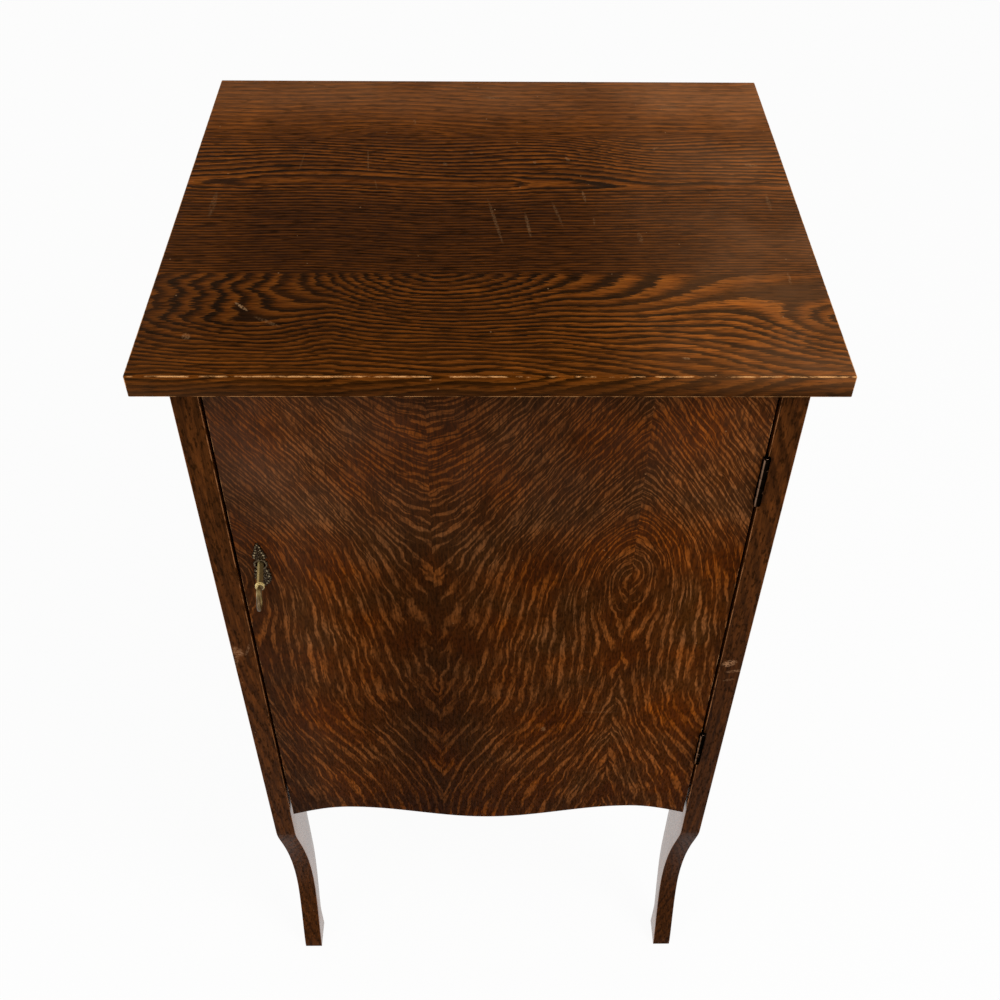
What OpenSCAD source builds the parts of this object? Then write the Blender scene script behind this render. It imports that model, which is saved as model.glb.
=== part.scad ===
// Gramophone cabinet: oak case on scroll-sawn legs, with an inset door and two tiers for records.
// Millimetres. +Z is up from the floor, and the door faces -Y.
// Modules draw with y measured back from the front edges of the side boards.

/* [Top board] */
// Width of the top
top_w = 520; // [440:1:600]
// Depth of the top
top_d = 453; // [400:1:520]
// Thickness of the top
top_t = 19; // [16:0.5:26]
// Width of the front plank
front_plank_w = 127; // [100:1:150]
// Width of the rear plank
rear_plank_w = 109; // [90:1:140]
// Overhang of the top at the front
front_over = 20; // [8:0.5:35]
// Overhang of the top at each side
side_over = 22.5; // [8:0.5:35]
// Overhang of the top at the back
back_over = 6; // [0:0.5:20]

/* [Case] */
// Height from the floor to the top's upper face
case_h = 978; // [930:1:1040]
// Thickness of a side board
side_t = 21; // [18:0.5:26]
// Upper face of the bottom board above the floor
bottom_z = 390; // [375:1:430]
// Thickness of the bottom board
bottom_t = 18; // [14:0.5:22]
// Thickness of the shelf
shelf_t = 15; // [12:0.5:20]
// How far the shelf stands back from the bottom board's front edge
shelf_back = 12; // [8:0.5:30]
// Depth of the housings that hold the boards in the sides
housing = 6; // [4:0.5:9]
// Thickness of the back panel
back_t = 6; // [4:0.5:9]
// Width of the rebate for the back panel
rebate_w = 11; // [9:0.5:13]
// Thickness of the rails under the top
rail_t = 18; // [15:0.5:22]
// Width of the rails under the top
rail_w = 60; // [50:1:80]
// Length of a rail's dovetail
tail_l = 14; // [10:0.5:15]
// How much a dovetail widens on each edge
tail_flare = 5; // [2:0.5:8]
// Width of the shoulder on each side of a dovetail
tail_shoulder = 6; // [4:0.5:10]
// Side of a glue block
block_s = 20; // [14:0.5:25]
// Length of a glue block
block_l = 60; // [40:1:90]

/* [Legs] */
// Lower edge of the side board between the legs
arch_z = 345; // [330:1:350]
// Where the arch meets the back of a leg
spring_z = 240; // [210:1:270]
// Length of the arch's round corner along the side
arch_l = 75; // [50:1:100]
// Height of the knee, where the front edge starts to curve back
knee_z = 305; // [290:1:325]
// Depth of the hollow below the knee
hollow_d = 33.5; // [20:0.5:38]
// Height of the deepest point of the hollow
hollow_z = 135; // [115:1:155]
// Leg's back edge behind the front plane
leg_d = 63; // [58:0.5:75]
// Height where the leg's back edge starts to narrow
taper_z = 170; // [150:1:200]
// Toe behind the front plane
toe_in = 7.5; // [2:0.5:14]
// Heel behind the front plane
heel_d = 39.5; // [34:0.5:45]
// Back of the ankle behind the front plane
ankle_d = 38.5; // [32:0.5:44]
// Height of the ankle
ankle_z = 40; // [25:1:55]

/* [Door] */
// Thickness of the door
door_t = 20; // [18:0.5:24]
// Thickness of each veneer
veneer_t = 1; // [0.6:0.1:2]
// Gap at each side of the door
door_gap = 2.7; // [2:0.1:4]
// Gap over the door
door_top_gap = 2; // [1:0.1:4]
// How far the door's face stands behind the side boards' edges
door_inset = 0.5; // [0:0.1:2]
// Lowest point of the door, at its middle
door_low_z = 338; // [325:1:345]
// Crests of the door's lower edge
door_crest_z = 360; // [348:1:368]
// Lower corners of the door
door_corner_z = 345; // [330:1:355]
// Distance of each crest from the middle of the door
crest_x = 153; // [120:1:170]
// Left seam of the face veneer, from the middle of the door
seam_x = -49; // [-75:1:-30]
// Width of the middle veneer leaf
leaf_w = 171; // [120:1:180]

/* [Hinges] */
// Length of a hinge
hinge_l = 51; // [40:0.5:64]
// Thickness of a hinge leaf
plate_t = 1.6; // [1.2:0.1:2]
// Width of a hinge leaf from the pin
plate_w = 15; // [13:0.5:18]
// Pin's axis in front of the side boards' edges
pin_proud = 2; // [1.5:0.1:3]
// Radius of a hinge pin
pin_r = 1.2; // [0.8:0.1:1.6]
// Middle of the upper hinge from the door's top edge, down being negative
upper_hinge_z = -101; // [-177:1:-77]
// Middle of the lower hinge above the bottom board
lower_hinge_z = 85; // [50:1:150]

/* [Record dividers] */
// Thickness of a divider
divider_t = 5; // [4:0.1:7]
// Front edge of the dividers behind the side boards' front edges
divider_y = 45; // [40:1:70]
// Depth of the grooves
groove_d = 3; // [2:0.1:4.5]
// Height of the scoop in a divider's front edge
scoop_h = 200; // [140:1:220]
// Depth of that scoop
scoop_d = 35; // [15:1:60]

/* [Lock and key] */
// Keyhole's middle from the door's left edge
backset = 19; // [18:0.5:22]
// Keyhole's middle from the door's top edge, down being negative
key_z = -199; // [-237:1:-157]
// How far the key leans toward the hinges in its worn lock, in degrees
key_lean = 6; // [0:0.5:7]
// Radius of the keyhole
keyhole_r = 4.3; // [4:0.1:5]
// Radius of the key's barrel
barrel_r = 2.7; // [2.2:0.1:3]
// Length of barrel outside the escutcheon
barrel_out = 23.5; // [20:0.5:35]
// Length of the key's double collar
collar_l = 3.2; // [2.4:0.1:5]
// Radius of the key's collar
collar_r = 3.9; // [3.4:0.1:4.5]
// Length of the key's bow
bow_l = 24; // [20:0.5:32]
// Height of the key's bow
bow_h = 16; // [14:0.5:24]
// Width of the bow's rim
bow_rim = 4; // [3:0.1:5]
// Thickness of the bow
bow_t = 3.4; // [2.5:0.1:4.5]
// Radius of the bow's two ends
bow_end_r = 6.4; // [5:0.1:6.8]
// Reach of the key's bit from its axis
bit_r = 8.5; // [7.5:0.1:9]
// Depth of the ward cut in the bit
ward_d = 3; // [2:0.1:4]
// Thickness of the bit
bit_t = 2.4; // [1.8:0.1:2.8]
// Width of the ward cut in the bit
ward_w = 1.2; // [0.8:0.1:1.8]
// Radius of the drill pin that the barrel turns on
drill_r = 1.2; // [0.8:0.1:1.4]
// Length of the drill pin inside the barrel
drill_l = 10; // [6:0.5:14]
// Clearance round the drill pin
drill_gap = 0.15; // [0.1:0.01:0.25]
// Thickness of the escutcheon plate
escutcheon_t = 1.2; // [0.8:0.1:2]
// Height of the ring round the keyhole
ring_h = 1.3; // [0.8:0.1:2]
// Width of the ring
ring_w = 1.7; // [1.2:0.1:2.2]
// Thickness of the lock plate
lock_plate_t = 1.5; // [1:0.1:2]
// Width of the lock plate
lock_plate_w = 46; // [44:0.5:54]
// Height of the lock plate
lock_plate_h = 54; // [52:0.5:62]
// Lock plate's edge behind the door's edge
lock_edge = 1.5; // [1:0.1:2.5]
// Width of the lock case
lock_w = 40; // [40:0.5:43]
// Depth of the lock case
lock_d = 10.5; // [10:0.1:13]
// Wall of the lock case
lock_wall = 1.2; // [0.8:0.1:1.6]
// Room for the bit's sweep over the floor of the lock case
bit_room = 1; // [0.6:0.1:2]
// Height of the bolt
bolt_h = 10; // [9.5:0.1:12]
// Thickness of the bolt
bolt_t = 4; // [3:0.1:5]
// Throw of the bolt
throw = 8; // [6:0.1:8]
// How far the bolt reaches down into the bit's sweep
bolt_dip = 2; // [1.4:0.1:2.4]
// Clearance round the bolt in the strike
bolt_play = 0.5; // [0.3:0.1:0.9]
// Metal left in the bolt round the slot for its stump
bolt_rim = 2; // [1.5:0.1:2.5]
// Room for the bolt behind its tail
tail_room = 1.8; // [1:0.1:2.5]
// Radius of the stump that guides the bolt
stump_r = 1.5; // [1:0.1:1.7]
// Lock plate's screws from its edges
lock_screw_in = 4.5; // [4:0.1:5]
// Room for the spring over the bolt
spring_room = 3; // [2.5:0.1:4]
// Thickness of the bolt spring
spring_t = 0.5; // [0.3:0.1:0.7]
// Length of the bolt spring
spring_l = 28; // [20:0.5:34]
// Thickness of the strike plate
strike_t = 1.2; // [0.8:0.1:2]
// Width of the strike plate
strike_w = 14; // [12:0.5:18]
// Height of the strike plate
strike_h = 36; // [32:0.5:42]
// Strike plate's screws from its ends
strike_screw_in = 5; // [4:0.1:6]

/* [Screws] */
// Shank radius of the hinge and lock screws
screw_r = 1.4; // [1.1:0.1:1.5]
// Head radius of the hinge and lock screws
screw_head_r = 2.7; // [2.3:0.1:2.8]
// Length of the hinge and lock screws
screw_l = 12; // [9:0.5:13]
// Shank radius of the case screws
case_screw_r = 2; // [1.6:0.1:2.3]
// Head radius of the case screws
case_screw_head_r = 3.8; // [3.2:0.1:4.2]
// Length of the screws that hold the top
top_screw_l = 25; // [22:0.5:26]
// Depth of the pockets for those screws' heads
screw_sink = 6; // [4:0.5:8]
// Length of the screws that hold the back
back_screw_l = 20; // [14:0.5:25]
// End screws of the back from its top and bottom edges
back_screw_end = 30; // [26:1:40]
// Shank radius of the escutcheon pins
tack_r = 0.6; // [0.4:0.1:0.7]
// Length of the escutcheon pins
tack_l = 10; // [6:0.5:12]
// Upper escutcheon pin above the keyhole
tack_up = 18; // [14:0.5:21]
// Lower escutcheon pin below the keyhole
tack_down = 22; // [16:0.5:24]

/* [Clearances] */
// Clearance between parts that move on each other
running = 0.3; // [0.2:0.05:0.5]
// Clearance round a screw, a pin or a divider
fit = 0.1; // [0.05:0.01:0.2]

/* [Hidden] */
$fn = 48;
bays = 6;
curve_n = 14;
door_n = 64;
knuckle_n = 5;

// Case
inner_x = top_w / 2 - side_over - side_t;
outer_x = inner_x + side_t;
case_d = top_d - front_over - back_over;
side_top = case_h - top_t;
under_z = bottom_z - bottom_t;
back_y = case_d - back_t;
rail_z = side_top - rail_t;
tier_h = (rail_z - bottom_z - shelf_t) / 2;
shelf_z = bottom_z + tier_h;
bay_w = (2 * inner_x - (bays - 1) * divider_t) / bays;
scoop_r = (scoop_h * scoop_h / 4 + scoop_d * scoop_d) / (2 * scoop_d);

// Door
door_x = inner_x - door_gap;
door_top_z = side_top - door_top_gap;
upper_z = door_top_z + upper_hinge_z;
lower_z = bottom_z + lower_hinge_z;
door_back = door_inset + door_t;
stop_y = door_back + running;
shelf_y = stop_y + shelf_back;

// Hinges, from the pin's axis
pin_x = inner_x - door_gap / 2;
leaf_face = door_gap / 2 + plate_t;
knuckle_r = leaf_face + fit;
knuckle_l = hinge_l / knuckle_n;
plate_start = knuckle_r + running;
screw_row = (plate_start + plate_w) / 2;

// Key, along its own leaning axis from the escutcheon's face
key_x = -door_x + backset;
keyhole_z = door_top_z + key_z;
face_y = door_inset - escutcheon_t;
bow_mid = -barrel_out - collar_l - bow_l / 2;
bow_run = bow_l / 2 - bow_end_r;
bow_side_r = (bow_run * bow_run + bow_h * bow_h / 4 - bow_end_r * bow_end_r) / (bow_h - 2 * bow_end_r);
bow_turn = atan2(bow_side_r - bow_h / 2, bow_run);
key_reach = (barrel_out + collar_l + bow_l) * cos(key_lean) - face_y;

// Lock
plate_y = door_back + lock_plate_t;
lock_back = door_back + lock_d;
lock_x = -door_x + lock_edge;
bit_start = (plate_y - face_y) / cos(key_lean) + bit_r * tan(key_lean) + running;
bit_end = (lock_back - lock_wall - face_y) / cos(key_lean) - bit_r * tan(key_lean) - running;
key_in = bit_end + running;
drill_end = (lock_back - lock_wall / 2 - face_y) / cos(key_lean);
bolt_l = lock_w - lock_wall - tail_room;
bolt_y = plate_y + running;
bolt_mid_y = bolt_y + bolt_t / 2;
bolt_z = keyhole_z + bit_r - bolt_dip;
bolt_top_z = bolt_z + bolt_h;
bolt_mid_z = bolt_z + bolt_h / 2;
talon_x = key_x - tan(key_lean) * (bolt_mid_y - face_y) + throw / 2;
talon_half = sqrt(bolt_dip * (2 * bit_r - bolt_dip)) + bit_t / 2 + running;
stump_x = lock_x + bolt_l - bolt_rim - throw - stump_r - running;
stump_z = bolt_top_z - bolt_rim - stump_r - running;
lock_low_z = keyhole_z - bit_r - bit_room - lock_wall;
lock_top_z = bolt_top_z + spring_room + lock_wall;
lock_mid_z = (lock_low_z + lock_top_z) / 2;
spring_rise = spring_room - running;
spring_bow_r = (spring_l * spring_l / 4 + spring_rise * spring_rise) / (2 * spring_rise);

// The origin lies under the middle of the whole depth, from the key's bow to the top's back edge
front_y = (key_reach - case_d - back_over) / 2;

plain_nodes = [
    "top_front_plank", "top_middle_plank", "top_rear_plank",
    "side_left", "side_right", "bottom_board", "shelf", "front_rail", "rear_rail",
    "back_panel", "glue_blocks", "top_screws", "back_screws",
    "hinge_case_leaf_upper", "hinge_case_leaf_lower", "hinge_pin_upper", "hinge_pin_lower",
    "hinge_case_screws", "strike_plate", "strike_screws",
    "door_core", "door_veneer_left", "door_veneer_middle", "door_veneer_right", "door_back_veneer",
    "hinge_door_leaf_upper", "hinge_door_leaf_lower", "hinge_door_screws",
    "escutcheon", "escutcheon_pins", "lock_plate", "lock_case", "lock_spring", "lock_screws",
    "lock_bolt", "key"
];

// Curves

// Points of a cubic curve from a to d, without its first point
function curve(a, b, c, d) = [
    for (i = [1:curve_n])
        let (t = i / curve_n, u = 1 - t)
        u * u * u * a + 3 * u * u * t * b + 3 * u * t * t * c + t * t * t * d
];

// An S from a to d with upright ends, each held upright for its share of the rise
function ogee(a, d, start, end) =
    let (rise = d.y - a.y)
    curve(a, a + [0, start * rise], d - [0, end * rise], d);

// A quarter of an oval, upright at a and level at d
function quarter(a, d) = curve(a, [a.x, a.y + 0.55 * (d.y - a.y)], [d.x - 0.55 * (d.x - a.x), d.y], d);

function reversed(points) = [for (i = [len(points) - 1:-1:0]) points[i]];

// Front half of a side board's outline, from its top corner down the leg and up to the arch, as [y, z]
function leg_edge() = concat(
    [[0, side_top], [0, knee_z]],
    ogee([0, knee_z], [hollow_d, hollow_z], 0.12, 0.47),
    ogee([hollow_d, hollow_z], [toe_in, 0], 0.37, 0.16),
    [[heel_d, 0], [ankle_d, ankle_z]],
    ogee([ankle_d, ankle_z], [leg_d, taper_z], 0.19, 0.46),
    [[leg_d, spring_z]],
    quarter([leg_d, spring_z], [leg_d + arch_l, arch_z])
);

// The door's lower edge at x: a swag between two crests, and a falling quarter wave out to each corner
function door_low(x) =
    abs(x) < crest_x
        ? door_low_z + (door_crest_z - door_low_z) * (1 - cos(180 * x / crest_x)) / 2
        : door_crest_z - (door_crest_z - door_corner_z)
            * (1 - cos(90 * (abs(x) - crest_x) / (door_x - crest_x)));

// Shared shapes

module at_case() translate([0, front_y, 0]) children();

module slab(x0, x1, y0, y1, z0, z1) translate([x0, y0, z0]) cube([x1 - x0, y1 - y0, z1 - z0]);

// An outline in [y, z], drawn out along X
module across(x0, x1, outline)
    translate([x0, 0, 0]) rotate([90, 0, 90]) linear_extrude(x1 - x0) polygon(outline);

// Countersunk screw: head at z = 0, point at z = l
module screw(r, head_r, l) {
    cylinder(h = head_r - r, r1 = head_r, r2 = r);
    cylinder(h = l - 2 * r, r = r);
    translate([0, 0, l - 2 * r]) cylinder(h = 2 * r, r1 = r, r2 = r / 4);
}

// The hole that such a screw sits in
module screw_hole(r, head_r, l) {
    translate([0, 0, -1]) cylinder(h = 1.01, r = head_r + fit);
    cylinder(h = head_r - r, r1 = head_r + fit, r2 = r + fit);
    cylinder(h = l + 1, r = r + fit);
}

// Top

module top_plank(y0, y1) color("#5b3519") at_case()
    difference() {
        slab(-top_w / 2, top_w / 2, y0, y1, side_top, case_h);
        top_screw_places() screw_hole(case_screw_r, case_screw_head_r, top_screw_l);
    }

module top_front_plank() top_plank(-front_over, front_plank_w - front_over);
module top_middle_plank() top_plank(front_plank_w - front_over, case_d + back_over - rear_plank_w);
module top_rear_plank() top_plank(case_d + back_over - rear_plank_w, case_d + back_over);

// Screws come up through both rails, in the middle of the outer and inner bays
module top_screw_places()
    for (bay = [1, 3, 4, 6], y = [stop_y + rail_w / 2, back_y - rail_w / 2])
        translate([bay_x(bay), y, rail_z + screw_sink]) children();

module top_screws() color("#4a4640") at_case()
    top_screw_places() screw(case_screw_r, case_screw_head_r, top_screw_l);

// Case

// Right-hand side board before the cuts that only one side has
module side_board()
    difference() {
        across(inner_x, outer_x, concat(leg_edge(), [for (p = reversed(leg_edge())) [case_d - p.x, p.y]]));
        slab(inner_x - 1, inner_x + housing, stop_y, back_y, under_z, bottom_z);
        slab(inner_x - 1, inner_x + housing, shelf_y, back_y, shelf_z, shelf_z + shelf_t);
        slab(inner_x - 1, inner_x + rebate_w, back_y, case_d + 1, under_z, side_top + 1);
        rail_tails(stop_y, rail_t + 1);
        rail_tails(back_y - rail_w, rail_t + 1);
        back_screw_places() screw_hole(case_screw_r, case_screw_head_r, back_screw_l);
    }

module side_right() color("#4b2b15") at_case()
    difference() {
        side_board();
        hinge_places() {
            gain();
            hinge_screw_places() screw_hole(screw_r, screw_head_r, screw_l);
        }
    }

module side_left() color("#4b2b15") at_case()
    difference() {
        mirror([1, 0, 0]) side_board();
        strike_blank();
        slab(lock_x - throw - 1, -inner_x + 1, bolt_y - bolt_play, bolt_y + bolt_t + bolt_play,
            bolt_z - bolt_play, bolt_z + bolt_h + bolt_play);
        strike_screw_places() screw_hole(screw_r, screw_head_r, screw_l);
    }

module bottom_board() color("#6b4526") at_case()
    difference() {
        slab(-inner_x - housing, inner_x + housing, stop_y, back_y, under_z, bottom_z);
        grooves(bottom_z - groove_d, bottom_z + 1);
        back_screw_places() screw_hole(case_screw_r, case_screw_head_r, back_screw_l);
    }

module shelf() color("#6b4526") at_case()
    difference() {
        slab(-inner_x - housing, inner_x + housing, shelf_y, back_y, shelf_z, shelf_z + shelf_t);
        grooves(shelf_z - 1, shelf_z + groove_d);
        grooves(shelf_z + shelf_t - groove_d, shelf_z + shelf_t + 1);
    }

// A dovetail at each end of a rail whose front edge is at y0
module rail_tails(y0, h)
    translate([0, 0, rail_z]) linear_extrude(h)
        for (side = [-1, 1])
            polygon([
                [side * (inner_x - 1), y0 + tail_shoulder + tail_flare],
                [side * inner_x, y0 + tail_shoulder + tail_flare],
                [side * (inner_x + tail_l), y0 + tail_shoulder],
                [side * (inner_x + tail_l), y0 + rail_w - tail_shoulder],
                [side * inner_x, y0 + rail_w - tail_shoulder - tail_flare],
                [side * (inner_x - 1), y0 + rail_w - tail_shoulder - tail_flare]
            ]);

module rail(y0) color("#6b4526") at_case()
    difference() {
        union() {
            slab(-inner_x, inner_x, y0, y0 + rail_w, rail_z, side_top);
            rail_tails(y0, rail_t);
        }
        grooves(rail_z - 1, rail_z + groove_d);
        top_screw_places() {
            screw_hole(case_screw_r, case_screw_head_r, top_screw_l);
            translate([0, 0, -screw_sink - 1]) cylinder(h = screw_sink + 1, r = case_screw_head_r + 0.5);
        }
        back_screw_places() screw_hole(case_screw_r, case_screw_head_r, back_screw_l);
    }

module front_rail() rail(stop_y);
module rear_rail() rail(back_y - rail_w);

module back_panel() color("#7a5632") at_case()
    difference() {
        slab(-inner_x - rebate_w, inner_x + rebate_w, back_y, case_d, under_z, side_top);
        back_screw_places() screw_hole(case_screw_r, case_screw_head_r, back_screw_l);
    }

// Screws into both sides, clear of the shelf between the middle two, and into the bottom board and rail
module back_screw_places() {
    for (x = [-1, 1] * (inner_x + rebate_w / 2), i = [0:3])
        back_screw_at(x, under_z + back_screw_end + i * (side_top - under_z - 2 * back_screw_end) / 3)
            children();
    for (bay = [1, 3, 4, 6], z = [(under_z + bottom_z - groove_d) / 2, (rail_z + groove_d + side_top) / 2])
        back_screw_at(bay_x(bay), z) children();
}

module back_screw_at(x, z) translate([x, case_d, z]) rotate([90, 0, 0]) children();

module back_screws() color("#4a4640") at_case()
    back_screw_places() screw(case_screw_r, case_screw_head_r, back_screw_l);

// Three-cornered blocks in the angle under the bottom board
module glue_blocks() color("#7a5632") at_case()
    for (side = [-1, 1], y = [case_d / 4, case_d * 3 / 4])
        translate([side * inner_x, y + block_l / 2, under_z]) rotate([90, 0, 0])
            linear_extrude(block_l) polygon([[0, 0], [-side * block_s, 0], [0, -block_s]]);

// Dividers

function divider_x(i) = -inner_x + i * bay_w + (i - 1) * divider_t;
function bay_x(i) = -inner_x + (i - 0.5) * bay_w + (i - 1) * divider_t;

module grooves(z0, z1)
    for (i = [1:bays - 1])
        slab(divider_x(i) - fit, divider_x(i) + divider_t + fit, divider_y - running, back_y + 1, z0, z1);

// A divider that stands in the groove over z0, with a scooped front edge
module divider(i, z0) color("#84603a") at_case()
    difference() {
        slab(divider_x(i), divider_x(i) + divider_t, divider_y, back_y - running,
            z0 - groove_d, z0 + tier_h + groove_d - running);
        translate([divider_x(i) - 1, divider_y + scoop_d - scoop_r, z0 + tier_h / 2])
            rotate([0, 90, 0]) cylinder(h = divider_t + 2, r = scoop_r, $fn = 120);
    }

// Hinges

module hinge_places()
    for (z = [upper_z, lower_z])
        translate([pin_x, -pin_proud, z]) children();

// Three screws, the middle one set back from the others
module hinge_screw_places()
    for (i = [-1:1])
        translate([door_gap / 2, screw_row + (i == 0 ? 1 : -1), i * hinge_l / 3])
            rotate([0, 90, 0]) children();

// The recess that lets a leaf in flush
module gain()
    slab(0, leaf_face, 0, plate_w, -hinge_l / 2, hinge_l / 2);

// Leaf on the +X side of its pin, with every second knuckle from the given one
module leaf(first)
    difference() {
        union() {
            slab(door_gap / 2, leaf_face, plate_start, plate_w, -hinge_l / 2, hinge_l / 2);
            for (i = [first:2:knuckle_n - 1])
                translate([0, 0, i * knuckle_l - hinge_l / 2 + running / 2]) {
                    cylinder(h = knuckle_l - running, r = knuckle_r);
                    slab(door_gap / 2, leaf_face, 0, plate_start + 1, 0, knuckle_l - running);
                }
        }
        cylinder(h = hinge_l + 2, r = pin_r + fit, center = true);
        hinge_screw_places() screw_hole(screw_r, screw_head_r, screw_l);
    }

module case_leaf(z) color("#2e2621") at_case() translate([pin_x, -pin_proud, z]) leaf(0);
module door_leaf(z) color("#2e2621") at_case()
    translate([pin_x, -pin_proud, z]) mirror([1, 0, 0]) leaf(1);
module hinge_pin(z) color("#3a302a") at_case()
    translate([pin_x, -pin_proud, z]) cylinder(h = hinge_l, r = pin_r, center = true);

module hinge_case_leaf_upper() case_leaf(upper_z);
module hinge_case_leaf_lower() case_leaf(lower_z);
module hinge_door_leaf_upper() door_leaf(upper_z);
module hinge_door_leaf_lower() door_leaf(lower_z);
module hinge_pin_upper() hinge_pin(upper_z);
module hinge_pin_lower() hinge_pin(lower_z);

module hinge_case_screws() color("#3a302a") at_case()
    hinge_places() hinge_screw_places() screw(screw_r, screw_head_r, screw_l);
module hinge_door_screws() color("#3a302a") at_case()
    hinge_places() mirror([1, 0, 0]) hinge_screw_places() screw(screw_r, screw_head_r, screw_l);

// Door

// One layer of the door, with everything that is cut through or into it
module door_layer(y0, y1)
    difference() {
        translate([0, y1, 0]) rotate([90, 0, 0]) linear_extrude(y1 - y0)
            polygon(concat(
                [for (i = [0:door_n]) let (x = -door_x + 2 * door_x * i / door_n) [x, door_low(x)]],
                [[door_x, door_top_z], [-door_x, door_top_z]]
            ));
        hinge_places() mirror([1, 0, 0]) {
            gain();
            hinge_screw_places() screw_hole(screw_r, screw_head_r, screw_l);
        }
        keyhole();
        lock_screw_places() screw_hole(screw_r, screw_head_r, screw_l);
        tack_places() cylinder(h = tack_l + 1, r = tack_r + fit);
    }

module veneer_leaf(x0, x1)
    color("#6d4020") at_case()
        intersection() {
            door_layer(door_inset, door_inset + veneer_t);
            slab(x0, x1, -door_t, door_t, 0, case_h);
        }

module door_core() color("#5e3a1e") at_case() door_layer(door_inset + veneer_t, door_back - veneer_t);
module door_back_veneer() color("#6b4526") at_case() door_layer(door_back - veneer_t, door_back);
module door_veneer_left() veneer_leaf(-door_x - 1, seam_x);
module door_veneer_middle() veneer_leaf(seam_x, seam_x + leaf_w);
module door_veneer_right() veneer_leaf(seam_x + leaf_w, door_x + 1);

// Key

// Draws along the key: y = 0 at the escutcheon's face, and +Y into the lock
module on_key() translate([key_x, face_y, keyhole_z]) rotate([0, 0, key_lean]) children();

module rod(y0, y1, r) translate([0, y0, 0]) rotate([-90, 0, 0]) cylinder(h = y1 - y0, r = r);

// The passage for the key through the escutcheon, the door and the lock plate
module keyhole()
    on_key() {
        rod(-ring_h - 2, key_in, keyhole_r);
        slab(-bit_t / 2 - running, bit_t / 2 + running, -ring_h - 2, key_in, -bit_r - 2 * running, 0);
    }

// Oval of four arcs, drawn in by e all round, as a plate t thick in the key's upright plane
module oval_plate(t, e)
    translate([-t / 2, bow_mid, 0]) rotate([90, 0, 90]) linear_extrude(t) {
        intersection() {
            translate([0, bow_side_r - bow_h / 2]) circle(r = bow_side_r - e, $fn = 120);
            translate([0, bow_h / 2 - bow_side_r]) circle(r = bow_side_r - e, $fn = 120);
            square([2 * (bow_run + (bow_end_r - e) * cos(bow_turn)), bow_h], center = true);
        }
        for (side = [-1, 1])
            translate([side * bow_run, 0]) circle(r = bow_end_r - e);
    }

module key() color("#b08d4a") at_case() on_key()
    difference() {
        union() {
            rod(-barrel_out - collar_l - bow_rim / 2, key_in, barrel_r);
            for (start = [-barrel_out - collar_l, -barrel_out - collar_l / 2])
                rod(start, start + 0.4 * collar_l, collar_r);
            oval_plate(bow_t, 0);
            slab(-bit_t / 2, bit_t / 2, bit_start, bit_end, -bit_r, 0);
        }
        oval_plate(2 * bow_t, bow_rim);
        rod(key_in - drill_l - 2, key_in + 1, drill_r + drill_gap);
        translate([0, (bit_start + bit_end - ward_w) / 2, 0])
            slab(-bit_t, bit_t, 0, ward_w, -bit_r - 1, ward_d - bit_r);
    }

// Escutcheon

// Lobes down one edge of the cast outline: sideways from its middle line, height and radius
escutcheon_lobes = [
    [1.9, 21, 1.7], [2.3, 17.6, 1.8], [3, 14.4, 1.9], [3.9, 11.2, 2], [4.2, 8.2, 1.9],
    [4.1, -8.6, 2.4], [4.6, -13, 2.1], [4.5, -17, 2.1], [3.8, -20.8, 2], [2.3, -24, 1.9]
];
// Height and radius of the lobes at its two ends
escutcheon_ends = [[23.4, 2], [-26.4, 1.8]];

module escutcheon() color("#6e5a3a") at_case()
    difference() {
        translate([key_x, door_inset, keyhole_z]) rotate([90, 0, 0]) {
            for (lobe = escutcheon_lobes, side = [-1, 1])
                translate([side * lobe.x, lobe.y, 0]) cylinder(h = escutcheon_t, r = lobe.z);
            for (end = escutcheon_ends)
                translate([0, end.x, 0]) cylinder(h = escutcheon_t, r = end.y);
            linear_extrude(escutcheon_t)
                polygon([[-1.4, 23.5], [1.4, 23.5], [4.3, 8], [4, -18.2], [1.4, -26.5],
                    [-1.4, -26.5], [-4, -18.2], [-4.3, 8]]);
            cylinder(h = escutcheon_t + ring_h, r = keyhole_r + ring_w);
        }
        keyhole();
        tack_places() cylinder(h = tack_l, r = tack_r + fit);
    }

// Pins above and below the keyhole
module tack_places()
    for (z = [tack_up, -tack_down])
        translate([key_x, face_y, keyhole_z + z]) rotate([-90, 0, 0]) children();

module escutcheon_pins() color("#8a7040") at_case()
    tack_places() {
        cylinder(h = tack_l, r = tack_r);
        translate([0, 0, -tack_r]) cylinder(h = tack_r, r1 = tack_r, r2 = 2 * tack_r);
    }

// Lock

module lock_plate() color("#8a7444") at_case()
    difference() {
        slab(lock_x, lock_x + lock_plate_w, door_back, plate_y,
            lock_mid_z - lock_plate_h / 2, lock_mid_z + lock_plate_h / 2);
        keyhole();
        lock_screw_places() screw_hole(screw_r, screw_head_r, screw_l);
    }

// Screws through the plate's corners, over and under the case
module lock_screw_places()
    for (x = [lock_x + lock_screw_in, lock_x + lock_plate_w - lock_screw_in],
         side = [-1, 1])
        translate([x, plate_y, lock_mid_z + side * (lock_plate_h / 2 - lock_screw_in)]) rotate([90, 0, 0])
            children();

module lock_screws() color("#8a7444") at_case()
    lock_screw_places() screw(screw_r, screw_head_r, screw_l);

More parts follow.
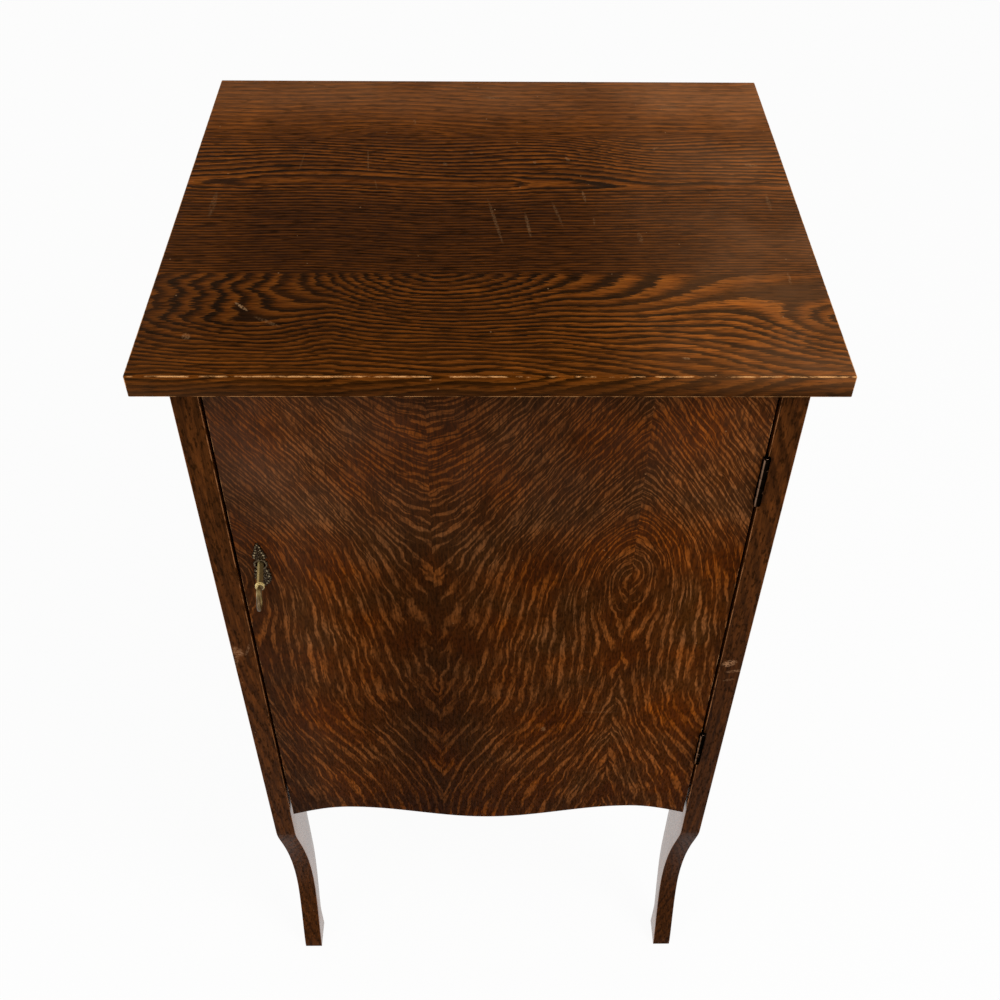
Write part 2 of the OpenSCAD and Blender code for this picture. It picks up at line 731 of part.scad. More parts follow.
// Tray that holds the works against the plate, with the bolt's guide stump and the key's drill pin
module lock_case() color("#7d683d") at_case()
    union() {
        difference() {
            slab(lock_x, lock_x + lock_w, plate_y, lock_back, lock_low_z, lock_top_z);
            slab(lock_x + lock_wall, lock_x + lock_w - lock_wall, plate_y - 1, lock_back - lock_wall,
                lock_low_z + lock_wall, lock_top_z - lock_wall);
            slab(lock_x - 1, lock_x + lock_wall + 1, plate_y - 1, bolt_y + bolt_t + running,
                bolt_z - running, bolt_z + bolt_h + running);
        }
        translate([stump_x, plate_y, stump_z]) rod(0, lock_d - lock_plate_t - lock_wall / 2, stump_r);
        on_key() rod(key_in - drill_l, drill_end, drill_r);
    }

module lock_bolt() color("#8a8478") at_case()
    difference() {
        slab(lock_x, lock_x + bolt_l, bolt_y, bolt_y + bolt_t, bolt_z, bolt_z + bolt_h);
        slab(talon_x - talon_half, talon_x + talon_half, bolt_y - 1, bolt_y + bolt_t + 1,
            bolt_z - 1, keyhole_z + bit_r + 2 * running);
        slab(stump_x - stump_r - running, stump_x + stump_r + running + throw, bolt_y - 1,
            bolt_y + bolt_t + 1, stump_z - stump_r - running, stump_z + stump_r + running);
    }

// Bowed strip between the bolt and the top of the case
module lock_spring() color("#5c6064") at_case()
    intersection() {
        translate([lock_x + lock_w / 2, bolt_y, bolt_z + bolt_h + running + spring_bow_r])
            difference() {
                rod(0, bolt_t, spring_bow_r, $fn = 120);
                rod(-1, bolt_t + 1, spring_bow_r - spring_t, $fn = 120);
            }
        slab(lock_x + lock_wall, lock_x + lock_w - lock_wall, bolt_y, bolt_y + bolt_t,
            bolt_z + bolt_h, lock_top_z - lock_wall);
    }

// Strike

module strike_blank()
    slab(-inner_x - strike_t, -inner_x, bolt_mid_y - strike_w / 2, bolt_mid_y + strike_w / 2,
        bolt_mid_z - strike_h / 2, bolt_mid_z + strike_h / 2);

module strike_screw_places()
    for (side = [-1, 1])
        translate([-inner_x, bolt_mid_y, bolt_mid_z + side * (strike_h / 2 - strike_screw_in)])
            rotate([0, -90, 0]) children();

module strike_plate() color("#8a7444") at_case()
    difference() {
        strike_blank();
        slab(-inner_x - side_t, -inner_x + 1, bolt_y - bolt_play, bolt_y + bolt_t + bolt_play,
            bolt_z - bolt_play, bolt_z + bolt_h + bolt_play);
        strike_screw_places() screw_hole(screw_r, screw_head_r, screw_l);
    }

module strike_screws() color("#8a7444") at_case()
    strike_screw_places() screw(screw_r, screw_head_r, screw_l);

top_front_plank();
top_middle_plank();
top_rear_plank();
side_left();
side_right();
bottom_board();
shelf();
front_rail();
rear_rail();
back_panel();
glue_blocks();
top_screws();
back_screws();
hinge_case_leaf_upper();
hinge_case_leaf_lower();
hinge_pin_upper();
hinge_pin_lower();
hinge_case_screws();
strike_plate();
strike_screws();
door_core();
door_veneer_left();
door_veneer_middle();
door_veneer_right();
door_back_veneer();
hinge_door_leaf_upper();
hinge_door_leaf_lower();
hinge_door_screws();
escutcheon();
escutcheon_pins();
lock_plate();
lock_case();
lock_spring();
lock_screws();
lock_bolt();
key();
for (i = [1:bays - 1]) {
    divider(i, bottom_z);
    divider(i, shelf_z + shelf_t);
}
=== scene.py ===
import math
import bmesh
import bpy
import numpy as np
from mathutils import Matrix, Vector


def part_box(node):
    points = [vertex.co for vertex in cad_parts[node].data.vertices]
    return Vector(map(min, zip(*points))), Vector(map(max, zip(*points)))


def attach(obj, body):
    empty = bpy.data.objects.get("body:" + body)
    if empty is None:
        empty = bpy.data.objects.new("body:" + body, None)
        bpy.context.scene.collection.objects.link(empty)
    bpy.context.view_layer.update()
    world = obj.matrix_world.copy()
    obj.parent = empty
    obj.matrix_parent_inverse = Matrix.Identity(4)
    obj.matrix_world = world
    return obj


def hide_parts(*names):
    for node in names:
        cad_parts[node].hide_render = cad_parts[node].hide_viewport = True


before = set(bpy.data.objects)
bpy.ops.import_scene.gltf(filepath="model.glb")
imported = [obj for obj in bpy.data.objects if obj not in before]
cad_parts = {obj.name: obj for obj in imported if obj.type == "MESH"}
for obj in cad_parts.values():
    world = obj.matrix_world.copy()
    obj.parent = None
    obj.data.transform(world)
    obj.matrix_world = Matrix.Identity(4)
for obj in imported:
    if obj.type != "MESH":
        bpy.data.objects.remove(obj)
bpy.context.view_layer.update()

scene = bpy.context.scene
scene.view_settings.view_transform = "Standard"
mm = 0.001
hair = 0.1 * mm  # places closer than this count as the same
weld = 0.01 * mm  # vertices closer than this become one
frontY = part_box("side_left")[0].y  # front edges of the side boards
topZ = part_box("top_front_plank")[1].z


# Materials' tools

def linear(hexColour):
    parts = [int(hexColour[i:i + 2], 16) / 255 for i in (1, 3, 5)]
    return [p / 12.92 if p <= 0.04045 else ((p + 0.055) / 1.055) ** 2.4 for p in parts] + [1]


# Adds a node. A link is a node, which gives its first output, a socket, a hex colour or a plain value.
def addNode(tree, kind, links=None, **settings):
    node = tree.nodes.new("ShaderNode" + kind)
    for name, value in settings.items():
        setattr(node, name, value)
    for socket, value in (links or {}).items():
        if isinstance(value, bpy.types.Node):
            value = value.outputs[0]
        if isinstance(value, bpy.types.NodeSocket):
            tree.links.new(value, node.inputs[socket])
        else:
            node.inputs[socket].default_value = linear(value) if isinstance(value, str) else value
    return node


def newMaterial(name):
    material = bpy.data.materials.new(name)
    material.use_nodes = True
    material.node_tree.nodes.clear()
    return material, material.node_tree


# Fills a ramp from (place, colour) pairs
def setRamp(ramp, stops):
    band = ramp.color_ramp
    while len(band.elements) < len(stops):
        band.elements.new(0.5)
    for element, (place, colour) in zip(band.elements, stops):
        element.position = place
        element.color = linear(colour)
    return ramp


# Camera and stage

camera = {
    "lens": 42.71,  # mm on a 36 mm sensor
    "place": (-6.6, -863.8, 1512.2),
    "down": 45.22,  # degrees
    "turn": 1.202,
    "roll": 0.808,
}


def makeCamera():
    down, turn, roll = (math.radians(camera[k]) for k in ("down", "turn", "roll"))
    forward = Vector((math.sin(turn) * math.cos(down), math.cos(turn) * math.cos(down), -math.sin(down)))
    right = Vector((math.cos(turn), -math.sin(turn), 0))
    up = right.cross(forward)
    levelRight = right * math.cos(roll) + up * math.sin(roll)
    levelUp = up * math.cos(roll) - right * math.sin(roll)
    data = bpy.data.cameras.new("camera")
    data.lens = camera["lens"]
    data.sensor_width = 36
    data.clip_end = 50
    body = bpy.data.objects.new("camera", data)
    axes = Matrix((levelRight, levelUp, -forward)).transposed()
    body.matrix_world = Matrix.Translation(Vector(camera["place"]) * mm) @ axes.to_4x4()
    scene.collection.objects.link(body)
    scene.camera = body


stage = {
    "floor": 12,  # metres across
    "white": "#ffffff",
    "paper": "#f6f6f4",
    "shadow": 0.06,  # how much of the floor's own shading shows
    "ambient": 0.55,
}


# 1 for the rays that should see plain white: the camera's, mirrored ones and those that pass through
def seenWhite(tree):
    ray = addNode(tree, "LightPath").outputs
    seen = addNode(tree, "Math", {0: ray["Is Camera Ray"], 1: ray["Is Glossy Ray"]}, operation="MAXIMUM")
    return addNode(tree, "Math", {0: seen, 1: ray["Is Transmission Ray"]}, operation="MAXIMUM")


def makeStage():
    bm = bmesh.new()
    bmesh.ops.create_grid(bm, x_segments=1, y_segments=1, size=stage["floor"] / 2)
    mesh = bpy.data.meshes.new("floor")
    bm.to_mesh(mesh)
    bm.free()
    floor = bpy.data.objects.new("floor", mesh)
    scene.collection.objects.link(floor)
    # Seamless paper: matt white, and it shows as white in the picture with a trace of shadow
    material, tree = newMaterial("seamlessPaper")
    share = addNode(tree, "Math", {0: seenWhite(tree), 1: 1 - stage["shadow"]}, operation="MULTIPLY")
    matt = addNode(tree, "BsdfDiffuse", {"Color": stage["paper"]})
    glow = addNode(tree, "Emission", {"Color": stage["white"]})
    mixed = addNode(tree, "MixShader", {0: share, 1: matt, 2: glow})
    addNode(tree, "OutputMaterial", {"Surface": mixed})
    mesh.materials.append(material)

    world = bpy.data.worlds.new("studio")
    scene.world = world
    world.use_nodes = True
    tree = world.node_tree
    tree.nodes.clear()
    soft = addNode(tree, "Background", {"Color": stage["white"], "Strength": stage["ambient"]})
    white = addNode(tree, "Background", {"Color": stage["white"]})
    mixed = addNode(tree, "MixShader", {0: seenWhite(tree), 1: soft, 2: white})
    addNode(tree, "OutputWorld", {"Surface": mixed})


lamps = [  # name, place, aimed at, size in metres, watts
    ("keyLight", (1.0, -0.85, 1.95), (0, 0, 0.8), 0.8, 16),
    ("fillLight", (-1.5, -1.8, 1.4), (0, 0, 0.5), 1.6, 13),
]


def makeLamps():
    for name, place, target, size, watts in lamps:
        data = bpy.data.lights.new(name, "AREA")
        data.size = size
        data.energy = watts
        lamp = bpy.data.objects.new(name, data)
        scene.collection.objects.link(lamp)
        lamp.location = place
        lamp.rotation_mode = "QUATERNION"
        lamp.rotation_quaternion = (Vector(target) - Vector(place)).to_track_quat("-Z", "Y")


makeCamera()
makeStage()
makeLamps()
print("camera, stage and lamps are in place")


# Wood

# The tone attribute says where a board is lighter (red), where its figure is stronger (green),
# how much painted grey sheen lies on it (blue) and where it has kept its polish (alpha).
# Red holds painted light and shade as well as the wood's own tone. Half of red leaves the colour as it is.
def toneParts(tree):
    tone = addNode(tree, "Attribute", attribute_name="tone")
    parts = addNode(tree, "SeparateColor", {0: tone.outputs["Color"]}).outputs
    return parts[0], parts[1], parts[2], tone.outputs["Alpha"]


def mapParts(tree, name):
    layer = addNode(tree, "UVMap", uv_map=name)
    return addNode(tree, "SeparateXYZ", {0: layer}).outputs


# A noise stretched to sizes in mm: three over a place, or two over a map
def stretchedNoise(tree, place, sizes, detail=2, rough=0.5):
    scale = ([1 / (s * mm) for s in sizes] + [1])[:3]
    scaled = addNode(tree, "Mapping", {"Vector": place, "Scale": scale})
    return addNode(tree, "TexNoise", {"Vector": scaled, "Scale": 1, "Detail": detail, "Roughness": rough},
                   noise_dimensions="3D" if len(sizes) == 3 else "2D")


def drawPores(tree, colour, pores, look):
    low, high = look["poreEdge"]
    pores = addNode(tree, "MapRange", {"Value": pores, "From Min": low, "From Max": high})
    dark = addNode(tree, "Math", {0: pores, 1: look["poreDepth"]}, operation="MULTIPLY")
    return addNode(tree, "Mix", {0: dark, 6: colour, 7: look["pore"]}, data_type="RGBA").outputs[2], pores


# Old varnish is never even: its depth changes from patch to patch, and so does the painted grey sheen laid
# over it
def shadeByTone(tree, place, colour, tone, look):
    size, spread = look["blotches"]
    blotch = addNode(tree, "TexNoise", {"Vector": place, "Scale": 1 / (size * mm),
                                        "Detail": 4, "Roughness": 0.6})
    depth = addNode(tree, "MapRange", {"Value": blotch, "From Min": 0.3, "From Max": 0.7,
                                       "To Min": 2 - 2 * spread, "To Max": 2 + 2 * spread})
    lift = addNode(tree, "Math", {0: tone[0], 1: depth}, operation="MULTIPLY")
    colour = addNode(tree, "VectorMath", {0: colour, "Scale": lift}, operation="SCALE")
    paintedSheen = addNode(tree, "SeparateColor", {0: blotch.outputs[1]}).outputs[1]
    paintedSheen = addNode(tree, "MapRange", {"Value": paintedSheen, "From Min": 0.35, "From Max": 0.65,
                                      "To Min": 0.6, "To Max": 1.4})
    paintedSheen = addNode(tree, "Math", {0: paintedSheen, 1: tone[2]}, operation="MULTIPLY", use_clamp=True)
    return addNode(tree, "Mix", {0: paintedSheen, 6: colour, 7: look["sheenGrey"]},
                   data_type="RGBA", blend_type="ADD").outputs[2]


# Bare wood on worn arrises, tiny chips, and pale marks where something struck or scraped the varnish
def addWear(tree, place, colour, look):
    rub = stretchedNoise(tree, place, look["rubSize"], 4, 0.7)
    rub = addNode(tree, "MapRange", {"Value": rub, "From Min": look["rub"][0], "From Max": look["rub"][1]})
    wearAndGlint = addNode(tree, "Math", {0: mapParts(tree, "wearAndGlint")["X"], 1: rub}, operation="MULTIPLY")
    colour = addNode(tree, "Mix", {0: wearAndGlint, 6: colour, 7: look["worn"]}, data_type="RGBA").outputs[2]
    chip = addNode(tree, "TexVoronoi", {"Vector": place, "Scale": 1 / (look["chips"] * mm)})
    chip = addNode(tree, "Math", {0: chip, 1: 0.7 / look["chips"]}, operation="LESS_THAN")
    bare = addNode(tree, "Math", {0: chip, 1: 0.4}, operation="MULTIPLY")
    grit = addNode(tree, "TexNoise", {"Vector": place, "Scale": 1 / (1.6 * mm),
                                      "Detail": 3, "Roughness": 0.8})
    grit = addNode(tree, "MapRange", {"Value": grit, "From Min": 0.42, "From Max": 0.66})
    for x, y, z, turn, tall, wide, strength in look["marks"]:
        mark = addNode(tree, "Mapping", {
            "Vector": place, "Location": (x * mm, y * mm, z * mm),
            "Rotation": [math.radians(a) for a in turn],
            "Scale": (wide / 2 * mm, 5 * mm, tall / 2 * mm)}, vector_type="TEXTURE")
        mark = addNode(tree, "TexGradient", {0: mark}, gradient_type="SPHERICAL").outputs[1]
        mark = addNode(tree, "MapRange", {"Value": mark, "From Max": 0.35, "To Max": strength})
        mark = addNode(tree, "Math", {0: mark, 1: grit}, operation="MULTIPLY")
        bare = addNode(tree, "Math", {0: bare, 1: mark}, operation="MAXIMUM")
    return addNode(tree, "Mix", {0: bare, 6: colour, 7: look["bare"]}, data_type="RGBA").outputs[2]


# Thin old varnish: satin, and duller in the pores, which stay open in it. It has sunk into the wood, so
# it mirrors less than a full coat does, except where a look has a coat and the tone map its polish.
def finishVarnish(tree, colour, pores, look, polish=None):
    rough = look["rough"]
    rough = addNode(tree, "MapRange", {"Value": pores, "To Min": rough, "To Max": rough + 0.2})
    sink = addNode(tree, "Bump", {"Strength": look["bump"], "Distance": 0.12 * mm, "Height": pores},
                   invert=True)
    finish = {"Base Color": colour, "Roughness": rough, "Specular IOR Level": look["gloss"], "Normal": sink}
    if "coat" in look:
        finish.update({"Coat Weight": polish, "Coat Roughness": look["coat"]})
    shader = addNode(tree, "BsdfPrincipled", finish)
    addNode(tree, "OutputMaterial", {"Surface": shader})


# Upright or level fibres and pores, drawn about twice as coarse as real ones so that they show,
# and then what age has done to the colour
def finishOak(tree, place, colour, tone, look):
    streak = stretchedNoise(tree, place, look["streaks"], 3, 0.65)
    streak = addNode(tree, "MapRange", {"Value": streak, "From Min": 0.3, "From Max": 0.7,
                                        "To Min": 1 - look["streak"], "To Max": 1 + look["streak"]})
    colour = addNode(tree, "VectorMath", {0: colour, "Scale": streak}, operation="SCALE")
    pores = stretchedNoise(tree, place, look["pores"], 1)
    colour, pores = drawPores(tree, colour, pores, look)
    colour = shadeByTone(tree, place, colour, tone, look)
    colour = addWear(tree, place, colour, look)
    finishVarnish(tree, colour, pores, look, tone[3])


# Rings of a plain-sawn board: a dark band of open pores, then a band of warm late wood.
# The figure map holds the ring count and how fast it runs along the grain.
def oakPlain(name, look):
    material, tree = newMaterial(name)
    place = addNode(tree, "TexCoord").outputs["Object"]
    tone = toneParts(tree)
    figure = mapParts(tree, "figure")
    # Fibres pull each ring's edge out into teeth
    teeth = stretchedNoise(tree, place, look["fibre"], 3, 0.6)
    teeth = addNode(tree, "Math", {0: teeth, 1: 0.5}, operation="SUBTRACT")
    shift = addNode(tree, "Math", {0: teeth, 1: look["teeth"]}, operation="MULTIPLY")
    shift = addNode(tree, "Math", {0: shift, 1: figure["Y"]}, operation="MULTIPLY")
    fuzz = addNode(tree, "Math", {0: teeth, 1: look["fuzz"]}, operation="MULTIPLY")
    wave = stretchedNoise(tree, place, look["waveSize"])
    wave = addNode(tree, "Math", {0: wave, 1: look["wave"]}, operation="MULTIPLY")
    phase = figure["X"]
    for part in (shift, fuzz, wave):
        phase = addNode(tree, "Math", {0: phase, 1: part}, operation="ADD")
    ring = addNode(tree, "Math", {0: phase}, operation="FRACT")
    colour = setRamp(addNode(tree, "ValToRGB", {0: ring}), look["ring"])
    # Some years are plainer than others
    year = addNode(tree, "Math", {0: phase}, operation="FLOOR")
    year = addNode(tree, "TexWhiteNoise", {"W": year}, noise_dimensions="1D")
    year = addNode(tree, "MapRange", {"Value": year, "To Min": 1 - look["years"]})
    plain = addNode(tree, "Math", {0: year, 1: tone[1]}, operation="MULTIPLY")
    colour = addNode(tree, "Mix", {0: plain, 6: look["late"], 7: colour}, data_type="RGBA").outputs[2]
    finishOak(tree, place, colour, tone, look)
    return material


# Ray flecks of quartered oak. The flow map runs along the flecks and across them, in metres.
def oakQuartered(name, look):
    material, tree = newMaterial(name)
    place = addNode(tree, "TexCoord").outputs["Object"]
    tone = toneParts(tree)
    flow = addNode(tree, "UVMap", uv_map="flow")
    # Flecks sway and step a little as they run
    for sizes, amount in look["sway"]:
        sway = stretchedNoise(tree, flow, sizes).outputs[1]
        sway = addNode(tree, "VectorMath", {0: sway, 1: (0.5, 0.5, 0.5)}, operation="SUBTRACT")
        sway = addNode(tree, "VectorMath", {0: sway, "Scale": amount * mm}, operation="SCALE")
        flow = addNode(tree, "VectorMath", {0: flow, 1: sway}, operation="ADD")
    # A comb of even lines under the noise makes them run side by side
    lines = addNode(tree, "SeparateXYZ", {0: flow}).outputs["Y"]
    kinds = []
    for length, width in look["flecks"]:
        noise = stretchedNoise(tree, flow, (length, width), 2, 0.4)
        rate = math.tau / (look["combed"] * width * mm)
        comb = addNode(tree, "Math", {0: lines, 1: rate}, operation="MULTIPLY")
        comb = addNode(tree, "Math", {0: comb}, operation="SINE")
        kinds.append(addNode(tree, "Math", {0: comb, 1: look["comb"], 2: noise}, operation="MULTIPLY_ADD"))
    fleck = addNode(tree, "Mix", {0: tone[1], 2: kinds[0], 3: kinds[1]})
    start, fine, broad = look["edge"]
    full = addNode(tree, "MapRange", {"Value": tone[1], "To Min": fine, "To Max": broad})
    fleck = addNode(tree, "MapRange", {"Value": fleck, "From Min": start, "From Max": full},
                    interpolation_type="SMOOTHSTEP")
    patch = stretchedNoise(tree, flow, look["patches"])
    patch = addNode(tree, "MapRange", {"Value": patch, "From Min": 0.3, "From Max": 0.6, "To Min": 0.65})
    fleck = addNode(tree, "Math", {0: fleck, 1: patch}, operation="MULTIPLY")
    warm = addNode(tree, "TexNoise", {"Vector": flow, "Scale": 1 / (look["toneLength"] * mm), "Detail": 3},
                   noise_dimensions="2D")
    warm = addNode(tree, "MapRange", {"Value": warm, "From Min": 0.35, "From Max": 0.65})
    ground, light = (
        addNode(tree, "Mix", {0: warm, 6: look[part], 7: look[part + "Warm"]}, data_type="RGBA").outputs[2]
        for part in ("ground", "fleck"))
    colour = addNode(tree, "Mix", {0: fleck, 6: ground, 7: light}, data_type="RGBA").outputs[2]
    finishOak(tree, place, colour, tone, look)
    return material


# Straight-grained wood inside the case
def woodInside(name, look):
    material, tree = newMaterial(name)
    place = addNode(tree, "TexCoord").outputs["Object"]
    grain = stretchedNoise(tree, place, look["grain"], 4, 0.6)
    colour = setRamp(addNode(tree, "ValToRGB", {0: grain}), look["ramp"])
    pores = stretchedNoise(tree, place, [s / 4 for s in look["grain"]])
    colour, pores = drawPores(tree, colour, pores, look)
    finishVarnish(tree, colour, pores, look)
    return material


# Boards: copies of the CAD boards with their arrises rounded, and maps that the wood's figure follows

def boardMesh(node):
    bm = bmesh.new()
    bm.from_mesh(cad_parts[node].data)
    bmesh.ops.remove_doubles(bm, verts=bm.verts, dist=weld)
    bmesh.ops.dissolve_limit(bm, angle_limit=math.radians(1), verts=bm.verts, edges=bm.edges)
    return bm


def uvLayer(bm, name):
    return bm.loops.layers.uv.get(name) or bm.loops.layers.uv.new(name)


def close(a, b):
    return abs(a - b) < hair


# Rounds the sharp edges whose middle the test picks, and writes on the new faces how worn they are
def roundArrises(bm, radius, picked=lambda p: True, worn=lambda p: 1):
    wearAndGlint = uvLayer(bm, "wearAndGlint")
    edges = [e for e in bm.edges if len(e.link_faces) == 2 and e.calc_face_angle() > 0.6
             and picked((e.verts[0].co + e.verts[1].co) / 2)]
    made = bmesh.ops.bevel(bm, geom=edges, offset=radius * mm, offset_type="OFFSET", segments=3, profile=0.5,
                           material=-1, affect="EDGES", clamp_overlap=True)
    for face in made["faces"]:
        for loop in face.loops:
            loop[wearAndGlint].uv = (worn(loop.vert.co), 0)


def setWearAndGlint(bm, amountAt):
    wearAndGlint = uvLayer(bm, "wearAndGlint")
    for face in bm.faces:
        for loop in face.loops:
            loop[wearAndGlint].uv = (amountAt(loop.vert.co), 0)


# Cuts a board's mesh across each axis every so many mm, so that a map can bend
def cutAcross(bm, node, grid):
    low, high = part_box(node)
    for axis, step in grid:
        count = max(1, round((high[axis] - low[axis]) / (step * mm)))
        for i in range(1, count):
            place, normal = Vector((0, 0, 0)), Vector((0, 0, 0))
            place[axis] = low[axis] + (high[axis] - low[axis]) * i / count
            normal[axis] = 1
            bmesh.ops.bisect_plane(bm, geom=bm.verts[:] + bm.edges[:] + bm.faces[:], dist=weld / 10,
                                   plane_co=place, plane_no=normal)


# Writes a map from a function of the place in mm
def writeMap(bm, name, figure):
    layer = uvLayer(bm, name)
    for vert in bm.verts:
        uv = figure(vert.co / mm)
        for loop in vert.link_loops:
            loop[layer].uv = uv


def writeTone(bm, toneAt):
    layer = bm.verts.layers.float_color.new("tone")
    for vert in bm.verts:
        parts = [min(1, max(0, part)) for part in toneAt(vert.co / mm)]
        vert[layer] = (parts + [0])[:4]


# Makes the object that stands in for a node
def finishPiece(bm, name, material, body, node, smooth=0.6):
    mesh = bpy.data.meshes.new(name)
    bm.to_mesh(mesh)
    bm.free()
    mesh.shade_smooth()
    mesh.set_sharp_from_angle(angle=smooth)
    mesh.materials.append(material)
    piece = bpy.data.objects.new(name, mesh)
    scene.collection.objects.link(piece)
    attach(piece, body)
    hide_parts(node)


def paintNode(node, material):
    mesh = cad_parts[node].data
    mesh.materials.clear()
    mesh.materials.append(material)


def ease(t):
    t = min(1, max(0, t))
    return t * t * (3 - 2 * t)


# The value at a place, eased from one listed value to the next
def between(places, values, at):
    if at <= places[0]:
        return values[0]
    for i in range(1, len(places)):
        if at <= places[i]:
            share = (at - places[i - 1]) / (places[i] - places[i - 1])
            return values[i - 1] + (values[i] - values[i - 1]) * ease(share)
    return values[-1]


# A soft hill of height 1, for tones and for bends in the figure
def hill(x, y, middleX, middleY, wide, tall):
    return math.exp(-((x - middleX) / wide) ** 2 - ((y - middleY) / tall) ** 2)


# Top: three planks of plain-sawn oak

topLook = {  # sizes are in mm, along the grain and across it
    "fibre": (12, 1.6, 1.6), "teeth": 13.0, "fuzz": 0.45, "waveSize": (80, 26, 26), "wave": 0.7,
    "ring": [(0.0, "#7e4411"), (0.34, "#70390b"), (0.54, "#442203"), (0.66, "#1e0e00"), (0.92, "#180a00"),
             (0.99, "#64360b")],
    "years": 0.45, "late": "#472304",
    "streaks": (26, 1.9, 1.9), "streak": 0.52,
    "pores": (14, 1.7, 1.7), "poreEdge": (0.54, 0.68), "poreDepth": 0.65, "pore": "#120700",
    "sheenGrey": "#583e2a", "blotches": (70, 0.14),
    "rubSize": (16, 5, 5), "rub": (0.43, 0.57), "worn": "#c99058", "bare": "#a98058", "chips": 19,
    "rough": 0.45, "gloss": 0.01, "bump": 0.5,
    # Scratches and bruises: place, turn, length, width, strength
    "marks": [(x, y, topZ / mm, (90, 0, turn), tall, wide, strength) for x, y, turn, tall, wide, strength in (
        (-232.5, 16, 0, 43, 6, 0.2), (4, -8, 10, 77, 3.4, 0.24), (31, -14, 6, 43, 3.4, 0.28),
        (56, 3, 11, 46, 3, 0.2), (80, 30, 5, 20, 3, 0.35), (86, -9, 0, 12, 2, 0.25),
        (-107.5, 90, 4, 43, 1.8, 0.3), (-165.5, 87, -4, 32, 1.8, 0.2), (-98, 49, 10, 18, 1.5, 0.2),
        (-188.5, -128, 45, 17, 3.2, 1.0), (-166.5, -147, 59, 27, 4, 0.3), (-223.5, -165, 20, 9, 7, 0.5),
        (40, 87, 0, 5, 4, 0.4), (69, 93, 25, 9, 4, 0.5), (149.5, 112, -50, 8, 4, 0.4),
        (-16.5, 103, 30, 5, 4, 0.3), (-69, 160, 10, 9, 3, 0.3), (-39, 83, 15, 7, 5, 0.3),
        (140.5, -190, 80, 7, 3, 0.6), (236, 21, 0, 28, 4, 0.3), (233.5, -90, 0, 19, 3, 0.3),
        (231, 83, 80, 13, 6, 0.4), (122, -33, 5, 19, 5, 0.22), (2.5, 208, 85, 18, 6, 0.3),
        (170, 189, 70, 22, 12, 0.12))],
}
planks = {
    "arris": 0.75,  # mm, radius of the worn arris
    "grid": ((0, 8), (1, 5)),  # axes, and mm between the figure's cuts across them
    "dip": 0.9,  # how far the rings shift for each mm down through the board
    "front": 127,  # mm, width of the front plank
    "skin": 1.5,  # mm under the top's face that still count as the face
    # Hearts of the front plank's figure: from the middle, from the front edge, how much its rings are
    # stretched to the left and right near it and further out, how far they reach before that, where its
    # rings start, how tightly they follow, and how square they grow on the left and right
    "hearts": [
        (-39, 130, (1.9, 3.3), (2.6, 4.5), 100, 0, 1, (5, 2.5)),
        (262, 178, (2.3, 2.3), (2.3, 2.3), 100, 36, 0.4, (0, 0)),
        (270, 70, (1.6, 1.6), (1.6, 1.6), 100, 48, 0.6, (0, 0)),
    ],
    "melt": 9,  # mm over which the rings of two hearts run together
    "rate": (0.165, 0.00035),  # rings for a mm at a heart, and how much the rate grows outward
}


# Ring count at a place on the top, in mm from the middle and from the front edge
def frontRings(x, y):
    total = 0
    for heartX, heartY, left, right, reach, start, tight, square in planks["hearts"]:
        away = abs(x - heartX)
        side = 0 if x < heartX else 1
        near, far = (left, right)[side]
        along = min(away, reach) / near + max(0, away - reach) / far
        power = 2 + square[side] * ease((away - 75) / 80)
        length = (along ** power + abs(y - heartY) ** power) ** (1 / power)
        total += math.exp(-(tight * length + start) / planks["melt"])
    away = 6 - planks["melt"] * math.log(total)
    # Short ripples near the front edge, long ones everywhere
    away += math.sin(x / 13 + y / 9) * ease((90 - y) / 40) + 1.6 * math.sin(x / 37 + y / 21 + 1)
    # The broad rings at the left end step from side to side
    steps = 0.35 * math.sin(y / 8 + x / 70) + 0.2 * math.sin(y / 3.6 + x / 30)
    rate, growth = planks["rate"]
    return away * rate + away * away * growth + steps * ease((-140 - x) / 40) * ease((y - 50) / 20)


# The heart of the middle plank is a plain band. Its rings close in pointed tips at both ends.
def middleRings(x, y):
    heart = between((-262, -100, 25, 150, 262), (266, 262, 259, 257, 253), x)
    away = y - heart - 2.5 * math.sin(x / 31)
    tips = 1.1 * ease((-185 - x) / 45) + 0.5 * ease((-230 - x) / 40)
    tips += ease((x - 14) / 24) * (1 - ease((x - 60) / 80))
    rate, growth = (0.13, 0.0004) if away > 0 else (0.2, 0.0003)
    sway = 0.5 * math.sin(x / 43 + away / 16) * ease(away / 20) + 0.3 * math.sin(x / 95 + 2)
    return math.hypot(away * rate, 0.5 + tips) + 2.7 * ease((x - 40) / 120) + growth * away * away + sway


def rearRings(x, y):
    sway = 0.5 * math.sin(x / 80) + 0.3 * math.sin(x / 33 + 1)
    return (y - 343) * 0.12 + sway - 2.2 * hill(x, y, -85, 351, 45, 9)


